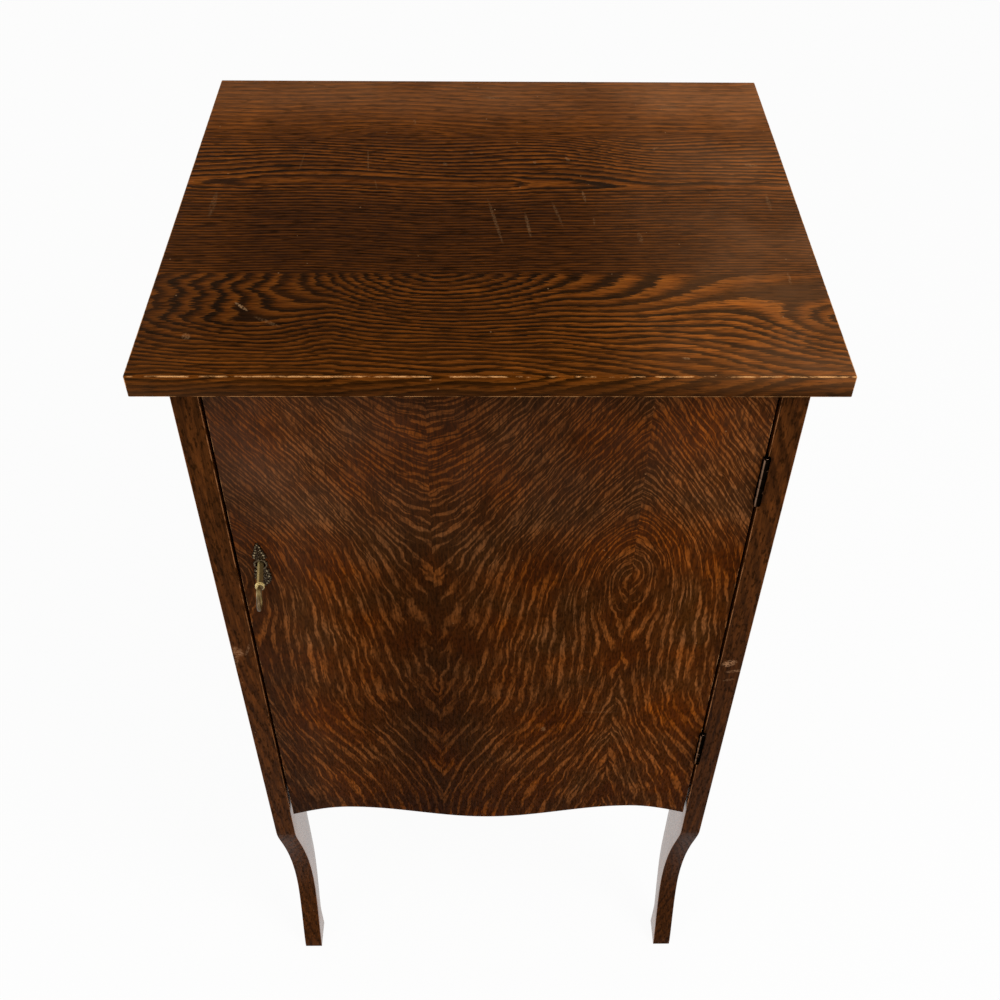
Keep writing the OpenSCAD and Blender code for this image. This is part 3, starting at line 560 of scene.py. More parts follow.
# Lightness, strength of figure and painted grey sheen of the top. The sheen is painted stronger to the right
# and at the back, and painted light makes the top lighter toward the right.
def topTone(x, y):
    sheenGrey = 0.5 * ease((x - 50) / 190) + 0.45 * ease((y - 350) / 80)
    if y < planks["front"]:
        light = 0.33 + 0.24 * hill(x, y, 175, 90, 100, 50)
        light += 0.12 * ease((70 - y) / 50) + 0.12 * ease((x - 20) / 120)
        strong = 0.92 + 0.15 * hill(x, y, 100, 90, 130, 50) - 0.1 * ease((55 - y) / 40)
        return light, strong, sheenGrey + 0.08 * ease((-190 - x) / 60)
    light = 0.31 + 0.15 * ease((y - 215) / 50) + 0.36 * ease((y - 325) / 45) - 0.03 * ease((x + 220) / 60)
    light += 0.1 * ease((x - 20) / 180) + 0.06 * ease((-180 - x) / 50)
    strong = 0.72 + 0.4 * ease((y - 225) / 30) - 0.8 * ease((y - 325) / 22)
    return light, strong, sheenGrey + 0.05 * ease((-200 - x) / 60)


# The same for its edges, with more painted grey sheen at the left
def edgeTone(x):
    return 0.255, 0.32, 0.06 + 0.22 * ease((-140 - x) / 110)


def makePlank(node, rings):
    topLow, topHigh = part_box("top_front_plank")[0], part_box("top_rear_plank")[1]
    front, top = topLow.y / mm, topZ / mm
    bm = boardMesh(node)
    # Arrises all round the top, but not along the joints between the planks
    corners = (topLow, topHigh)
    roundArrises(bm, planks["arris"], lambda p: any(close(p[i], c[i]) for c in corners for i in (0, 1)))
    cutAcross(bm, node, planks["grid"])

    # Rings dip through the board's thickness, which gives the edges their own lines
    def figure(p):
        y = p.y - front + (top - p.z) * planks["dip"]
        slope = (rings(p.x + 1, y) - rings(p.x - 1, y)) / 2
        return rings(p.x, y), abs(slope)
    writeMap(bm, "figure", figure)
    writeTone(bm, lambda p: topTone(p.x, p.y - front) if p.z > top - planks["skin"] else edgeTone(p.x))
    finishPiece(bm, node.replace("top_", "top_board_"), oakTop, "cabinet", node)


# Plain-sawn oak, stained dark and varnished: bold rings with open pores, bare wood along the arrises
oakTop = oakPlain("oakTopVarnished", topLook)
makePlank("top_front_plank", frontRings)
makePlank("top_middle_plank", middleRings)
makePlank("top_rear_plank", rearRings)
print("top planks made")


# Sides: one slab each, with the grain upright

sideLook = dict(topLook)
sideLook.update({
    "fibre": (1.6, 1.6, 12), "pores": (1.9, 1.9, 6), "streaks": (1.9, 1.9, 22), "fuzz": 0.5,
    "waveSize": (30, 30, 90),
    "ring": [(0.0, "#562c0e"), (0.5, "#4a260a"), (0.66, "#301604"), (0.9, "#271102"), (0.99, "#512a0c")],
    "late": "#45240a", "years": 0.5, "rubSize": (5, 5, 18), "blotches": (60, 0.16),
    "rub": (0.4, 0.56), "worn": "#a06a42", "bare": "#9a6e4c", "chips": 20, "gloss": 0.015, "coat": 0.25,
    "marks": [(-233, -191, 636, (0, -30, 0), 18, 13, 0.8), (-236, -191, 620, (0, 14, 0), 34, 5, 0.6),
              (-222, -191, 640, (0, 20, 0), 24, 3, 0.5), (225, -191, 616, (0, 65, 0), 16, 11, 1.4),
              (232, -191, 604, (0, 80, 0), 20, 5, 0.7), (228, -191, 590, (0, 75, 0), 14, 4, 0.45),
              (240, -191, 520, (0, 10, 0), 8, 3, 0.5)],
})
sides = {
    "arris": 0.5,
    "grid": ((2, 12), (1, 18)),
    "case": 350,  # mm, height over which a side is joined to the rest of the case
    "covered": 20,  # mm at its upper end that the top covers
    "rebate": 12,  # mm at its back edge for the back panel
    # below this height the legs' inner faces also get a painted pale sheen
    "polishAndSheen": 395,  # mm, height under which the legs' inner faces have kept their polish
    "heart": (190, 46),  # mm, heart of the log from the front edge and beyond the inner face
    "sway": (26, 14),  # mm, how far it strays each way on the way up
    "rate": 0.2,  # rings for a mm
}


def makeSide(node):
    low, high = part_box(node)
    left = node.endswith("left")
    bm = boardMesh(node)
    inner, outer = (high.x, low.x) if left else (low.x, high.x)
    case = sides["case"] * mm

    # The outline's arrises on both faces, but not the joints' and not the top end's
    def onOutline(p):
        housed = close(p.x, inner) and p.z > case and p.y > low.y + 1 * mm
        inRebate = p.z > case and p.y > high.y - sides["rebate"] * mm
        uncovered = p.z < topZ - sides["covered"] * mm
        return (close(p.x, inner) or close(p.x, outer)) and uncovered and not housed and not inRebate
    # The posts beside the door are worn more than the legs
    roundArrises(bm, sides["arris"], onOutline, lambda p: 0.35 + 0.65 * ease((p.z / mm - 380) / 60))
    cutAcross(bm, node, sides["grid"])
    sign = -1 if left else 1

    def figure(p):
        away = p.y - frontY / mm - sides["heart"][0]
        away -= sides["sway"][0] * math.sin(p.z / 260 + (1.1 if left else 2.6))
        into = 1.5 * sign * (p.x - inner / mm)
        lift = sides["heart"][1] + into + sides["sway"][1] * math.sin(p.z / 170)
        return math.hypot(away, lift) * sides["rate"] + p.z * 0.006, 0.02
    writeMap(bm, "figure", figure)

    # Low on the legs, the inner faces keep their polish and are painted lighter and greyer, a painted
    # reflection of the pale floor. The right board is darker lower down.
    def tone(p):
        if p.z < sides["polishAndSheen"] and close(p.x * mm, inner):
            return 1.0, 0.3, 1.0, 1.0
        return 0.5 - (0 if left else 0.11 * ease((720 - p.z) / 150)), 0.7, 0.0, 0.0
    writeTone(bm, tone)
    finishPiece(bm, node.replace("side_", "side_board_"), oakCase, "cabinet", node)


# Plain-sawn oak slabs under the same varnish: quiet upright rings, glossy where no hand reached
oakCase = oakPlain("oakCaseVarnished", sideLook)
makeSide("side_left")
makeSide("side_right")
print("side boards made")


# Door: three bookmatched leaves of quartered oak on a core

doorLook = {
    "sway": [((30, 14), 6.5), ((8, 5), 1.6)],  # mm, sizes along and across the flecks, and how far they sway
    "flecks": [(34, 1.9), (54, 3.5)],  # mm, along and across the fine and the broad flecks
    "comb": 0.1, "combed": 2.6,  # strength of the even lines, and their spacing in widths of a fleck
    "patches": (40, 16),
    "edge": (0.49, 0.62, 0.7),  # where a fleck starts, and where it is full among the fine and the broad ones
    "toneLength": 90,
    "ground": "#3d1f05", "groundWarm": "#451c00",
    "fleck": "#7a4924", "fleckWarm": "#80400a",
    "streaks": (1.9, 1.9, 22), "streak": 0.42,
    "pores": (1.9, 1.9, 6), "poreEdge": (0.48, 0.64), "poreDepth": 0.5, "pore": "#1c0b00",
    "sheenGrey": "#483226", "blotches": (70, 0.12),
    "rubSize": (5, 5, 18), "rub": (0.5, 0.6), "worn": "#a3744a", "bare": "#a3744a", "chips": 24,
    "rough": 0.45, "gloss": 0.01, "bump": 0.4,
    # A dent and a faint line
    "marks": [(54, -190.5, 508, (0, 0, 0), 9, 6, 0.7), (106, -190.5, 537, (0, 90, 0), 46, 1.6, 0.3)],
}
# Angle of the flecks from level, in degrees, rising away from the left seam:
# by height over the floor, beside the seam, 40 mm out, 90 mm out and at the next seam
fleckAngles = [
    (340, 84, 82, 76, 88),
    (430, 70, 68, 64, 84),
    (495, 62, 62, 56, 80),
    (545, 62, 70, 74, 88),
    (600, 60, 76, 88, 95),
    (680, 50, 75, 86, 112),
    (740, 42, 68, 78, 88),
    (810, 30, 55, 62, 52),
    (880, 20, 45, 58, 58),
    (960, 4, 42, 55, 60),
]
outFromSeam = (0, 40, 90, 171)
eye = {"height": 734, "wide": 30, "tall": 56}  # mm, the closed rings at the right seam
veneer = {
    "grid": ((0, 7), (2, 7)),
    "arris": 0.45,
    "lower": 370,  # mm, height under which every arris of the face is on the serpentine edge
    "field": 8,  # mm between the places where the flecks' map is solved
    "from": 320, "to": 970,  # mm, heights that the map covers
    "rounds": 1500,
}


# Direction over the flecks, at a distance out from the left seam and a height, in mm
def overFlecks(out, z, width):
    heights = [row[0] for row in fleckAngles]
    columns = [between(heights, [row[i] for row in fleckAngles], z) for i in range(1, 5)]
    angle = math.radians(between(outFromSeam, columns, out))
    over = Vector((-math.sin(angle), math.cos(angle)))
    x, y = (out - width) / eye["wide"], (z - eye["height"]) / eye["tall"]
    ringed = Vector((x / eye["wide"], y / eye["tall"]))
    if ringed.length > 0:
        over = over.lerp(ringed.normalized(), math.exp(-(x * x + y * y) ** 1.5 / 2))
    return over.normalized()


# Finds the field that is level the first way and climbs evenly the second way. The level counts fully
# and the climb by its weight, so lines follow the flecks but may draw together. Conjugate gradients.
def solveField(first, second, weight, step):
    def slopes(f):
        return (f[1:, :-1] - f[:-1, :-1]) / step, (f[:-1, 1:] - f[:-1, :-1]) / step

    def gather(gx, gz):
        out = np.zeros((gx.shape[0] + 1, gx.shape[1] + 1))
        out[1:, :-1] += gx / step
        out[:-1, 1:] += gz / step
        out[:-1, :-1] -= (gx + gz) / step
        return out

    def weigh(gx, gz):
        a = first[0] * gx + first[1] * gz
        b = (second[0] * gx + second[1] * gz) * weight
        return first[0] * a + second[0] * b, first[1] * a + second[1] * b

    residual = gather(second[0] * weight, second[1] * weight)
    field = np.zeros_like(residual)
    way, size = residual.copy(), (residual ** 2).sum()
    for _ in range(veneer["rounds"]):
        turned = gather(*weigh(*slopes(way)))
        gain = size / (way * turned).sum()
        field += gain * way
        residual -= gain * turned
        newSize = (residual ** 2).sum()
        if newSize < 1e-12:
            break
        way = residual + way * (newSize / size)
        size = newSize
    return field


# Gives a function that tells how far along and across the flecks a place lies, in metres
def leafFields(width):
    step, low, high = veneer["field"], veneer["from"], veneer["to"]
    columns, rows = math.ceil(width / step) + 1, math.ceil((high - low) / step) + 1
    ways = [[overFlecks(i * step, low + j * step, width) for j in range(rows - 1)]
            for i in range(columns - 1)]
    over = [np.array([[way[k] for way in column] for column in ways]) for k in (0, 1)]
    along = [over[1], -over[0]]
    acrossField = solveField(along, over, 0.15, step)
    alongField = solveField(over, along, 4.0, step)

    # 2.001 keeps a place inside the last cell
    def at(out, z):
        i = max(0, min(out / step, columns - 2.001))
        j = max(0, min((z - low) / step, rows - 2.001))
        a, b = int(i), int(j)
        s, t = i - a, j - b
        return [(f[a, b] * (1 - s) * (1 - t) + f[a + 1, b] * s * (1 - t) + f[a, b + 1] * (1 - s) * t
                 + f[a + 1, b + 1] * s * t) * mm for f in (alongField, acrossField)]
    return at


# Lightness, strength of the broad flecks and painted grey sheen of the door. Its lightness holds painted
# light and shade as well as the veneer's own tone.
def doorTone(x, z, out):
    # Darker at the top right of the middle and along the left seam, paler patches out at both sides
    light = 0.43 - 0.05 * hill(x, z, 60, 870, 60, 90) - 0.1 * hill(x, z, -48, 570, 40, 150)
    light += 0.05 * hill(x, z, -148, 684, 35, 130) + 0.06 * hill(x, z, 148, 548, 70, 150)
    light -= (0.06 + 0.08 * ease((600 - z) / 200)) * math.exp(-((x + 55) / 50) ** 2)
    # Toward the left and the right edge: painted shade along both edges beside the gaps, and painted light
    # over the right part
    light += 0.03 * ease((-100 - x) / 40) - (0.15 + 0.05 * ease((650 - z) / 150)) * ease((-160 - x) / 42)
    light += 0.12 * ease((x - 130) / 60) - 0.15 * ease((x - 188) / 24)
    # Darker upward, painted light at the upper right, a painted shadow under the top's overhang, and darker
    # along the lower edge
    light -= 0.065 * ease((z - 690) / 120) * (1 - ease((x - 110) / 40)) + 0.04 * hill(x, z, 60, 810, 60, 80)
    light += 0.03 * ease((x - 140) / 30) * ease((z - 600) / 100)
    light -= 0.04 * ease((z - 800) / 80) + 0.05 * ease((z - 925) / 30)
    light -= (0.06 + 0.06 * ease(-x / 100)) * ease((420 - z) / 60)
    sheenGrey = 0.35 * ease((z - 690) / 200) * (0.5 + 0.5 * ease((-40 - x) / 120)) + 0.14 * ease((-120 - x) / 60)
    return light, ease((850 - z) / 170) * (1 - 0.5 * ease((out - 60) / 110)), sheenGrey


def makeLeaf(node, leftSeam, rightSeam, fields, slip):
    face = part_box(node)[0].y
    bm = boardMesh(node)
    doorLow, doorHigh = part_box("door_core")

    def atRim(p):
        return p.y < face + hair and (close(p.x, doorLow.x) or close(p.x, doorHigh.x)
                                      or p.z > doorHigh.z - hair or p.z < veneer["lower"] * mm)
    roundArrises(bm, veneer["arris"], atRim)
    cutAcross(bm, node, veneer["grid"])
    width = rightSeam - leftSeam

    def out(x):
        away = abs(x - leftSeam)
        return 2 * width - away if away > width and x > leftSeam else away

    def flow(p):
        along, across = fields(out(p.x), p.z + slip)
        return along + 0.2, across
    writeMap(bm, "flow", flow)
    writeTone(bm, lambda p: doorTone(p.x, p.z, out(p.x)))
    finishPiece(bm, node.replace("door_veneer", "door_leaf"), oakLeaf, "door", node)


# Sliced veneer of quartered oak under the same varnish: ray flecks, pale on a dark ground
oakLeaf = oakQuartered("oakVeneerQuartered", doorLook)
seamLeft, seamRight = (corner.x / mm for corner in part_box("door_veneer_middle"))
fields = leafFields(seamRight - seamLeft)
# Neighbouring leaves are sliced a few millimetres apart, so they match but not quite
for leafName, slip in (("door_veneer_left", 0), ("door_veneer_middle", 7), ("door_veneer_right", -5)):
    makeLeaf(leafName, seamLeft, seamRight, fields, slip)
print("door leaves made")


# Inside of the case, and the door's core and back

insideLook = {
    "grain": (120, 5, 5), "pore": "#23120a", "poreEdge": (0.52, 0.7), "poreDepth": 0.45,
    "ramp": [(0.25, "#4a2a14"), (0.5, "#6b4022"), (0.75, "#7d4f2c")],
    "rough": 0.5, "gloss": 0.08, "bump": 0.25,
}
# Planed oak boards, oiled and gone brown: straight soft lines
oakInside = woodInside("oakInsideOiled", insideLook)
# The same oak with its grain upright, for the door's core and back
oakUpright = woodInside("oakCoreUpright", dict(insideLook, grain=(5, 5, 120)))
# Birch plywood, peeled and stained: finer lines and a duller face
plywood = woodInside("birchPlywoodStained", dict(
    insideLook, grain=(3, 3, 90), rough=0.55, ramp=[(0.25, "#6b4526"), (0.5, "#8a5c35"), (0.75, "#9a6a40")]))


# A copy of a node with soft edges, and bright where the test says, which on the hinge knuckles is a painted
# highlight
def softenNode(node, radius, material, body, worn=None):
    bm = boardMesh(node)
    roundArrises(bm, radius)
    if worn:
        setWearAndGlint(bm, worn)
    finishPiece(bm, node + "_soft", material, body, node, smooth=0.7)


for node in ("bottom_board", "shelf", "front_rail", "rear_rail", "glue_blocks"):
    softenNode(node, 0.5, oakInside, "cabinet")
paintNode("door_core", oakUpright)
softenNode("door_back_veneer", 0.2, oakUpright, "door")
for node in list(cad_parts):
    if node.startswith("divider"):
        softenNode(node, 0.6, plywood, "cabinet")
softenNode("back_panel", 0.8, plywood, "cabinet")
print("inside boards made")


# Metals

# Steel or brass with a patina: a dark skin, with bright metal showing where the wear map says.
# On the key and the hinge knuckles that map paints a highlight
def oldMetal(name, look):
    material, tree = newMaterial(name)
    place = addNode(tree, "TexCoord").outputs["Object"]
    skin = addNode(tree, "TexNoise", {"Vector": place, "Scale": 1 / (look["patch"] * mm), "Detail": 4})
    low, high = look["cover"]
    skin = addNode(tree, "MapRange", {"Value": skin, "From Min": low, "From Max": high})
    worn = mapParts(tree, "wearAndGlint")["X"]
    skin = addNode(tree, "Math", {0: skin, 1: worn}, operation="SUBTRACT", use_clamp=True)
    colour = addNode(tree, "Mix", {0: skin, 6: look["metal"], 7: look["patina"]}, data_type="RGBA").outputs[2]
    smooth, rough = look["rough"]
    rough = addNode(tree, "Math", {0: skin, 1: rough - smooth, 2: smooth}, operation="MULTIPLY_ADD")
    grit = addNode(tree, "TexNoise", {"Vector": place, "Scale": 1 / (0.5 * mm), "Detail": 3})
    bump = addNode(tree, "Bump", {"Strength": look["bump"], "Distance": 0.05 * mm, "Height": grit})
    shader = addNode(tree, "BsdfPrincipled", {
        "Base Color": colour, "Metallic": look.get("clean", 1.0), "Roughness": rough, "Normal": bump,
        "Specular Tint": look.get("edge", "#ffffff")})
    addNode(tree, "OutputMaterial", {"Surface": shader})
    return material


# Stamped steel, blackened by age and old varnish
blackSteel = oldMetal("blackenedSteel", {"metal": "#806450", "patina": "#0f0a06", "edge": "#5a4432",
                                         "patch": 4, "cover": (0.2, 0.4), "rough": (0.3, 0.5), "bump": 0.3})
# Turned steel, dulled
dullSteel = oldMetal("dullSteel", {"metal": "#8a857c", "patina": "#4d463d", "patch": 3, "cover": (0.4, 0.65),
                                   "rough": (0.35, 0.6), "bump": 0.3})
# Cast brass gone brown, bright on the tops of its beads
darkBrass = oldMetal("castBrassDark", {"metal": "#c4b088", "patina": "#281b10", "patch": 0.9,
                                       "cover": (0.2, 0.44), "rough": (0.25, 0.5), "bump": 0.5})
# Turned and filed brass under a film that scatters a little light; its bright parts are a painted highlight
# from the key's map
keyBrass = oldMetal("brassWithPaintedHighlight", {"metal": "#f8dc92", "patina": "#5a4424", "patch": 3,
                                     "cover": (0.05, 0.25), "rough": (0.2, 0.4), "bump": 0.12, "clean": 0.5})
# Rolled brass sheet, dull
lockBrass = oldMetal("rolledBrassDull", {"metal": "#a88a4e", "patina": "#6b5530", "patch": 6,
                                         "cover": (0.4, 0.7), "rough": (0.3, 0.5), "bump": 0.3})


# Boxes of a node's separate solids, in metres and in an order that is always the same
def solidBoxes(node):
    bm = bmesh.new()
    bm.from_mesh(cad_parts[node].data)
    bmesh.ops.remove_doubles(bm, verts=bm.verts, dist=weld)
    left = set(bm.verts)
    boxes = []
    while left:
        seen, edge = set(), [left.pop()]
        while edge:
            vert = edge.pop()
            seen.add(vert)
            for other in (e.other_vert(vert) for e in vert.link_edges):
                if other not in seen:
                    edge.append(other)
        left -= seen
        places = [v.co for v in seen]
        boxes.append([Vector([ends(p[i] for p in places) for i in range(3)]) for ends in (min, max)])
    bm.free()
    return sorted(boxes, key=lambda box: tuple(box[0]))


def newVerts(bm, before):
    return [v for v in bm.verts if v not in before]


def vertsOf(geom):
    return [g for g in geom if isinstance(g, bmesh.types.BMVert)]


# Vertices with the edges and faces that meet there
def withAll(verts):
    edges = dict.fromkeys(e for v in verts for e in v.link_edges)
    return verts + list(edges) + list(dict.fromkeys(f for v in verts for f in v.link_faces))


# Turns a profile of (radius, height) pairs in mm round Z
def lathe(bm, profile, steps=32):
    before = set(bm.verts)
    verts = [bm.verts.new((r * mm, 0, z * mm)) for r, z in profile]
    edges = [bm.edges.new(pair) for pair in zip(verts, verts[1:])]
    bmesh.ops.spin(bm, geom=verts + edges, cent=(0, 0, 0), axis=(0, 0, 1), angle=math.tau, steps=steps,
                   use_merge=True, use_duplicate=False)
    bmesh.ops.remove_doubles(bm, verts=newVerts(bm, before), dist=weld / 5)


# Slotted countersunk screws in the places of the node's solids, their heads facing one way

screws = {
    "segments": 20,
    # Shares of the head's radius: half the slot's width and its depth, the head's depth,
    # and the thread's radius at a crest and at a root
    "slot": (0.28, 0.45),
    "cone": 0.5,
    "thread": (0.52, 0.4),
    "pitch": 1.3,  # mm between threads
    "plain": 2,  # mm of shank under the head
    "point": (2.5, 2, 0.05),  # mm from the end: the last thread, where the point starts, and where it closes
    "turns": (20, 75, 130, 50),  # degrees that the slots stand at
}


# Radius, as a share of the head's, and depth in mm of each step down a screw
def screwSteps(headRadius, length):
    crest, root = screws["thread"]
    lastThread, start, tip = screws["point"]
    down = headRadius * screws["cone"]
    steps = [(crest, down)]
    down += screws["plain"]
    while down < length - lastThread:
        steps += [(crest, down), (root, down + screws["pitch"] / 2)]
        down += screws["pitch"]
    return steps + [(root, length - start), (0.02, length - tip)]


def makeScrews(node, facing, body):
    bm = bmesh.new()
    axis = Vector(facing)
    for count, (low, high) in enumerate(solidBoxes(node)):
        length = abs((high - low).dot(axis))
        radius = min(high - low) / 2
        turn = Matrix.Rotation(math.radians(screws["turns"][count % 4]), 4, "Z")
        before = set(bm.verts)
        bmesh.ops.create_circle(bm, cap_ends=True, radius=radius, segments=screws["segments"])
        wide, deep = (radius * share for share in screws["slot"])
        for side in (-1, 1):
            bmesh.ops.bisect_plane(bm, geom=withAll(newVerts(bm, before)), dist=weld / 100,
                                   plane_co=(0, side * wide, 0), plane_no=(0, 1, 0))
        faces = list(dict.fromkeys(f for v in newVerts(bm, before) for f in v.link_faces))
        slotFace = [f for f in faces if abs(f.calc_center_median().y) < wide / 2]
        loop = [e for f in faces for e in f.edges if len(e.link_faces) == 1]
        last, lastDown = 1.0, 0.0
        for share, down in screwSteps(radius / mm, length / mm):
            grown = bmesh.ops.extrude_edge_only(bm, edges=loop)["geom"]
            ring = vertsOf(grown)
            loop = [g for g in grown if isinstance(g, bmesh.types.BMEdge) and all(v in ring for v in g.verts)]
            bmesh.ops.scale(bm, vec=(share / last, share / last, 1), verts=ring)
            bmesh.ops.translate(bm, vec=(0, 0, (lastDown - down) * mm), verts=ring)
            last, lastDown = share, down
        bmesh.ops.holes_fill(bm, edges=loop)
        cut = bmesh.ops.extrude_face_region(bm, geom=slotFace)["geom"]
        bmesh.ops.delete(bm, geom=slotFace, context="FACES_ONLY")
        bmesh.ops.translate(bm, vec=(0, 0, -deep), verts=vertsOf(cut))
        place = Matrix.Translation((low + high) / 2 + axis * length / 2)
        place = place @ axis.to_track_quat("Z", "Y").to_matrix().to_4x4() @ turn
        bmesh.ops.transform(bm, matrix=place, verts=newVerts(bm, before))
    bmesh.ops.recalc_face_normals(bm, faces=bm.faces)
    setWearAndGlint(bm, lambda p: 0)
    finishPiece(bm, node + "_slotted", dullSteel, body, node, smooth=0.7)


for node, facing, body in (
        ("hinge_case_screws", (-1, 0, 0), "cabinet"), ("hinge_door_screws", (1, 0, 0), "door"),
        ("lock_screws", (0, 1, 0), "door"), ("strike_screws", (1, 0, 0), "cabinet"),
        ("back_screws", (0, 1, 0), "cabinet"), ("top_screws", (0, 0, -1), "cabinet")):
    makeScrews(node, facing, body)
print("screws made")


# Key: turned barrel with a double collar, and a round-sectioned oval bow

key = {
    "place": (-194.8, -0.7, 758),  # mm at the escutcheon: from the middle, the side boards' fronts, the floor
    "lean": 6,  # degrees toward the hinges
    "barrel": 2.7,  # mm, radius
    "out": 23.5,  # barrel outside the escutcheon
    "inside": 29.77,
    "collar": (3.9, 1.6),  # radius and length of each half of the double collar
    # The curve of each half, from its full radius and its start
    "curve": [(-0.6, 0.1), (-0.15, 0.3), (0, 0.65), (0, 0.95), (-0.15, 1.3), (-0.6, 1.5)],
    "bow": (24, 16),  # length and height
    "bowEnd": 6.4,  # radius of its two ends
    "rim": (4, 3.4),  # width and thickness of its bar
    "bit": (8.5, 2.4, 24.02, 29.47),  # reach, thickness, and from where to where it runs inside
    "ward": (3, 1.2),  # depth and width of the cut in the bit
    "drill": (1.35, 12),  # radius and depth of the hole in its end
}


# Axes of a piece on the door's face: sideways, up, and out towards the viewer, turned by the lean
def outwardAxes(lean=0):
    x, y, z = key["place"]
    turn = math.radians(lean)
    sideways = Vector((math.cos(turn), math.sin(turn), 0))
    outward = Vector((math.sin(turn), -math.cos(turn), 0))
    axes = Matrix((sideways, Vector((0, 0, 1)), outward)).transposed().to_4x4()
    return Matrix.Translation((x * mm, frontY + y * mm, z * mm)) @ axes


# Runs a section along arcs of (centre, angle in degrees) about X, a step for every so many degrees
def sweepArcs(bm, section, arcs, stepAngle=9):
    for centre, angle in arcs:
        steps = max(2, round(abs(angle) / stepAngle))
        section = bmesh.ops.spin(bm, geom=section, cent=[c * mm for c in centre], axis=(1, 0, 0),
                                 angle=math.radians(angle), steps=steps, use_duplicate=False)["geom_last"]


def makeKey():
    bm = bmesh.new()
    out, (collarR, collarL), barrel = key["out"], key["collar"], key["barrel"]
    drillR, drillDeep = key["drill"]
    inner = -key["inside"]
    profile = [(0.02, inner + drillDeep), (drillR, inner + drillDeep - 0.6), (drillR, inner),
               (barrel - 0.3, inner), (barrel, inner + 0.4), (barrel, out - 0.2), (barrel + 0.3, out)]
    profile += [(collarR + r, start + z) for start in (out, out + collarL) for r, z in key["curve"]]
    end = out + 2 * collarL
    profile += [(barrel - 0.3, end + 0.1), (1.9, end + 1), (0.02, end + 1.6)]
    lathe(bm, profile)
    # Bow, round in section
    length, height = key["bow"]
    rimWide, rimThick = key["rim"]
    endR = key["bowEnd"]
    run = length / 2 - endR
    sideR = (run ** 2 + height ** 2 / 4 - endR ** 2) / (height - 2 * endR)
    lift, middle = sideR - height / 2, end + length / 2
    turn = math.degrees(math.atan2(lift, run))
    side = 180 - 2 * turn
    section = bmesh.ops.create_circle(bm, radius=1 * mm, segments=14)["verts"]
    bmesh.ops.rotate(bm, verts=section, matrix=Matrix.Rotation(math.pi / 2, 3, "X"))
    bmesh.ops.scale(bm, vec=(rimThick / 2, 1, rimWide / 2), verts=section)
    bmesh.ops.translate(bm, vec=(0, 0, (middle + length / 2 - rimWide / 2) * mm), verts=section)
    sweepArcs(bm, withAll(section), [
        ((0, 0, middle + run), turn), ((0, lift, middle), side), ((0, 0, middle - run), 2 * turn),
        ((0, -lift, middle), side), ((0, 0, middle + run), turn)])
    bmesh.ops.remove_doubles(bm, verts=bm.verts, dist=2 * weld)
    # Bit, with its ward cut
    reach, thick, near, far = key["bit"]
    cutDeep, cutWide = key["ward"]
    cutNear, cutFar = (near + far - cutWide) / 2, (near + far + cutWide) / 2
    outline = [(0, near), (-reach, near), (-reach, cutNear), (cutDeep - reach, cutNear),
               (cutDeep - reach, cutFar), (-reach, cutFar), (-reach, far), (0, far)]
    face = bm.faces.new([bm.verts.new((-thick / 2 * mm, y * mm, -z * mm)) for y, z in outline])
    grown = bmesh.ops.extrude_face_region(bm, geom=[face])["geom"]
    bmesh.ops.translate(bm, vec=(thick * mm, 0, 0), verts=vertsOf(grown))
    bmesh.ops.recalc_face_normals(bm, faces=bm.faces)

    # A painted highlight down the left of the barrel, on the bow's left limb and at a spot halfway along it,
    # as from a light at the left, and bright metal on the collar's rim
    def highlightAndWear(p):
        x = p.x / mm
        if p.z < out * mm:
            return 0.08 + 0.9 * ease((0.1 - x) / 1.2)
        if p.z < end * mm:
            return 0.95 if p.xy.length > (collarR - 0.3) * mm else 0.1
        along = (p.z / mm - end) / length
        left = 0.8 * ease((-x - 0.2) / 1.2) * ease((0.75 - along) / 0.3)
        return left + 0.7 * hill(along, x, 0.5, 0.8, 0.14, 0.9)
    setWearAndGlint(bm, highlightAndWear)
    bmesh.ops.transform(bm, matrix=outwardAxes(key["lean"]), verts=bm.verts)
    finishPiece(bm, "turned_key", keyBrass, "key", "key", smooth=0.7)


makeKey()
print("key made")


# Escutcheon: cast plate with beads, small scrolls and a raised ring

escutcheon = {
    # Beads down one side: sideways, up, radius
    "beads": [(1.9, 21, 1.5), (2.3, 17.6, 1.6), (3, 14.4, 1.7), (3.9, 11.2, 1.8), (4.2, 8.2, 1.6),
              (4.4, -8.4, 1.7), (3.6, -21.2, 1.5), (2.2, -24.2, 1.5)],
    # Beads down the middle: up, radius
    "middleBeads": [(23.6, 1.6), (19.3, 0.9), (16, 1.2), (12.7, 1.0), (9.6, 1.3), (-9.6, 1.2),
                    (-14.2, 1.3), (-18.6, 1.1), (-22.4, 1.1), (-26.3, 1.5)],
    "beadShape": (0.78, 0.78, 0.62, 1),  # how a ball is flattened sideways, upwards and outwards
    "scrolls": [(3.7, -12.6, 1.9, 250), (3.7, -17.4, 1.7, -250)],  # sideways, up, radius, turn in degrees
    "wire": (0.55, 0.2),  # mm, radius of the scrolls' section, and its height
    "taper": (9, 16, 0.26),  # where it starts going up, over what height, and by how much it narrows
    "flare": (-8, 8, 0.14),
    "ring": (5.1, 0.9, 1.6),  # radius, radius of its section, height over the plate's back
    "plate": 1.2,
    "land": 0.45,  # mm, height that the plate keeps where the solid has its ring
    "arris": 0.2,
}


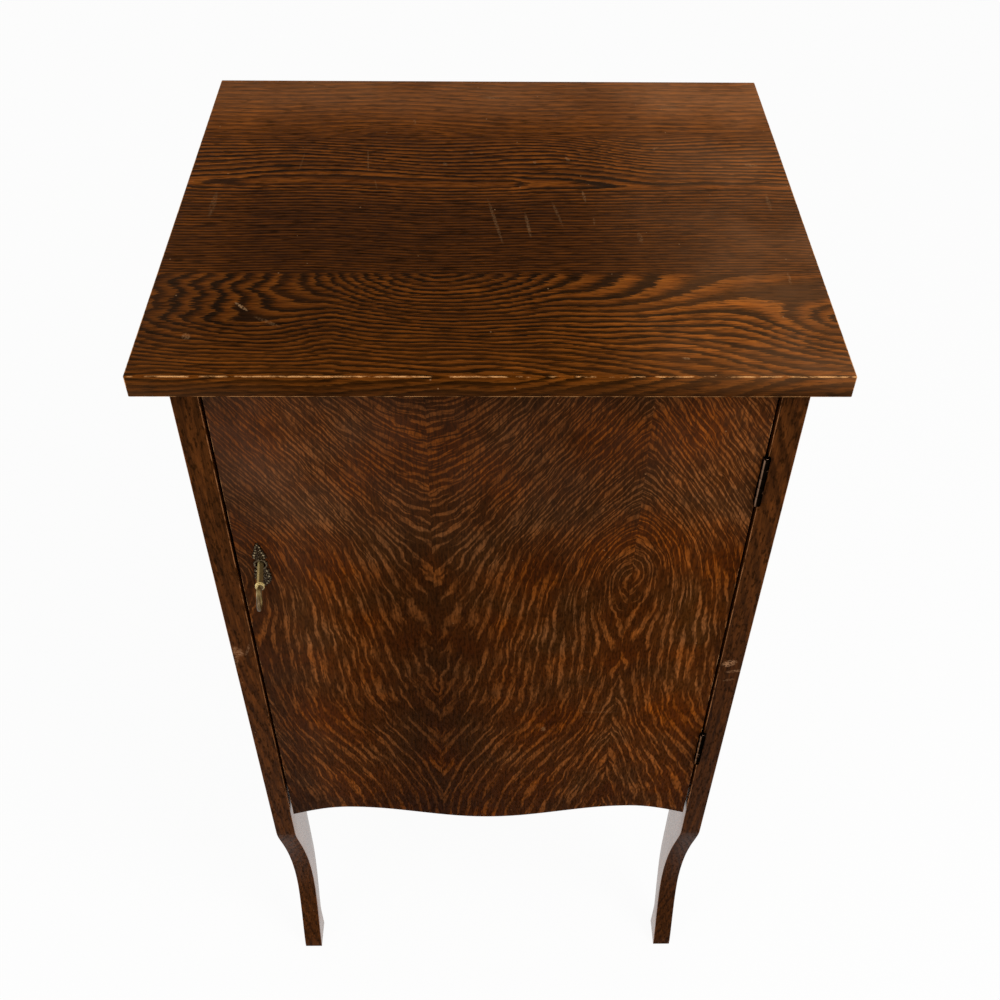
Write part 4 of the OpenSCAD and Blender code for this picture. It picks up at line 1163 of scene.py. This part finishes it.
def makeEscutcheon():
    bm = boardMesh("escutcheon")
    roundArrises(bm, escutcheon["arris"])
    axes = outwardAxes()
    bmesh.ops.transform(bm, matrix=axes.inverted(), verts=bm.verts)
    for vert in bm.verts:
        vert.co.z = min(vert.co.z, escutcheon["land"] * mm)
    beads = [(side * x, y, r) for x, y, r in escutcheon["beads"] for side in (-1, 1)]
    beads += [(0, y, r) for y, r in escutcheon["middleBeads"]]
    for x, y, r in beads:
        place = Matrix.Translation((x * mm, y * mm, 0)) @ Matrix.Diagonal(escutcheon["beadShape"])
        bmesh.ops.create_uvsphere(bm, u_segments=14, v_segments=8, radius=r * mm, matrix=place)
    wire, lift = (part * mm for part in escutcheon["wire"])
    for x, y, r, turn in escutcheon["scrolls"]:
        for side in (-1, 1):
            section = bmesh.ops.create_circle(bm, cap_ends=True, radius=wire, segments=8)["verts"]
            bmesh.ops.rotate(bm, verts=section, matrix=Matrix.Rotation(math.pi / 2, 3, "X"))
            bmesh.ops.translate(bm, vec=((x - r) * side * mm, y * mm, lift), verts=section)
            bmesh.ops.spin(bm, geom=withAll(section), cent=(x * side * mm, y * mm, lift), axis=(0, 0, 1),
                           angle=math.radians(turn * side), steps=14, use_duplicate=False)
    # The plate narrows upwards from the ring, and widens a little below it
    start, over, share = escutcheon["taper"]
    low, under, more = escutcheon["flare"]
    for vert in bm.verts:
        y = vert.co.y / mm
        vert.co.x *= 1 - share * ease((y - start) / over) + more * ease((low - y) / under)
    ringR, wireR, high = escutcheon["ring"]
    lathe(bm, [(ringR + wireR * math.cos(a), high - escutcheon["plate"] + wireR * math.sin(a))
               for a in (math.tau * i / 12 for i in range(13))])
    bmesh.ops.recalc_face_normals(bm, faces=bm.faces)

    # The higher, the brighter, but the ring stays dark
    def brightByHeight(p):
        high = min(0.9, max(0, (p.z / mm - 0.7) * 1.6))
        return high * 0.12 if p.xy.length < 6.5 * mm else high
    setWearAndGlint(bm, brightByHeight)
    bmesh.ops.transform(bm, matrix=axes, verts=bm.verts)
    finishPiece(bm, "cast_escutcheon", darkBrass, "door", "escutcheon", smooth=0.8)


makeEscutcheon()
print("escutcheon made")


# Stamped and sawn pieces

pinLow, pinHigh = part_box("hinge_pin_upper")
pinAxis = (pinLow.xy + pinHigh.xy) / 2


# A painted highlight runs along one line down the knuckles, on their front left side
def knuckleHighlight(place):
    away = place.xy - pinAxis
    return ease((away.normalized().dot(Vector((-0.75, -0.66))) - 0.94) / 0.05) if away.length > 2 * mm else 0


for end in ("upper", "lower"):
    softenNode("hinge_case_leaf_" + end, 0.25, blackSteel, "cabinet", knuckleHighlight)
    softenNode("hinge_door_leaf_" + end, 0.25, blackSteel, "door", knuckleHighlight)
    softenNode("hinge_pin_" + end, 0.3, blackSteel, "cabinet")
softenNode("lock_plate", 0.3, lockBrass, "door")
softenNode("lock_case", 0.3, lockBrass, "door")
softenNode("strike_plate", 0.25, lockBrass, "cabinet")
softenNode("lock_bolt", 0.3, dullSteel, "bolt")
paintNode("lock_spring", dullSteel)
paintNode("escutcheon_pins", darkBrass)
print("metal pieces made")
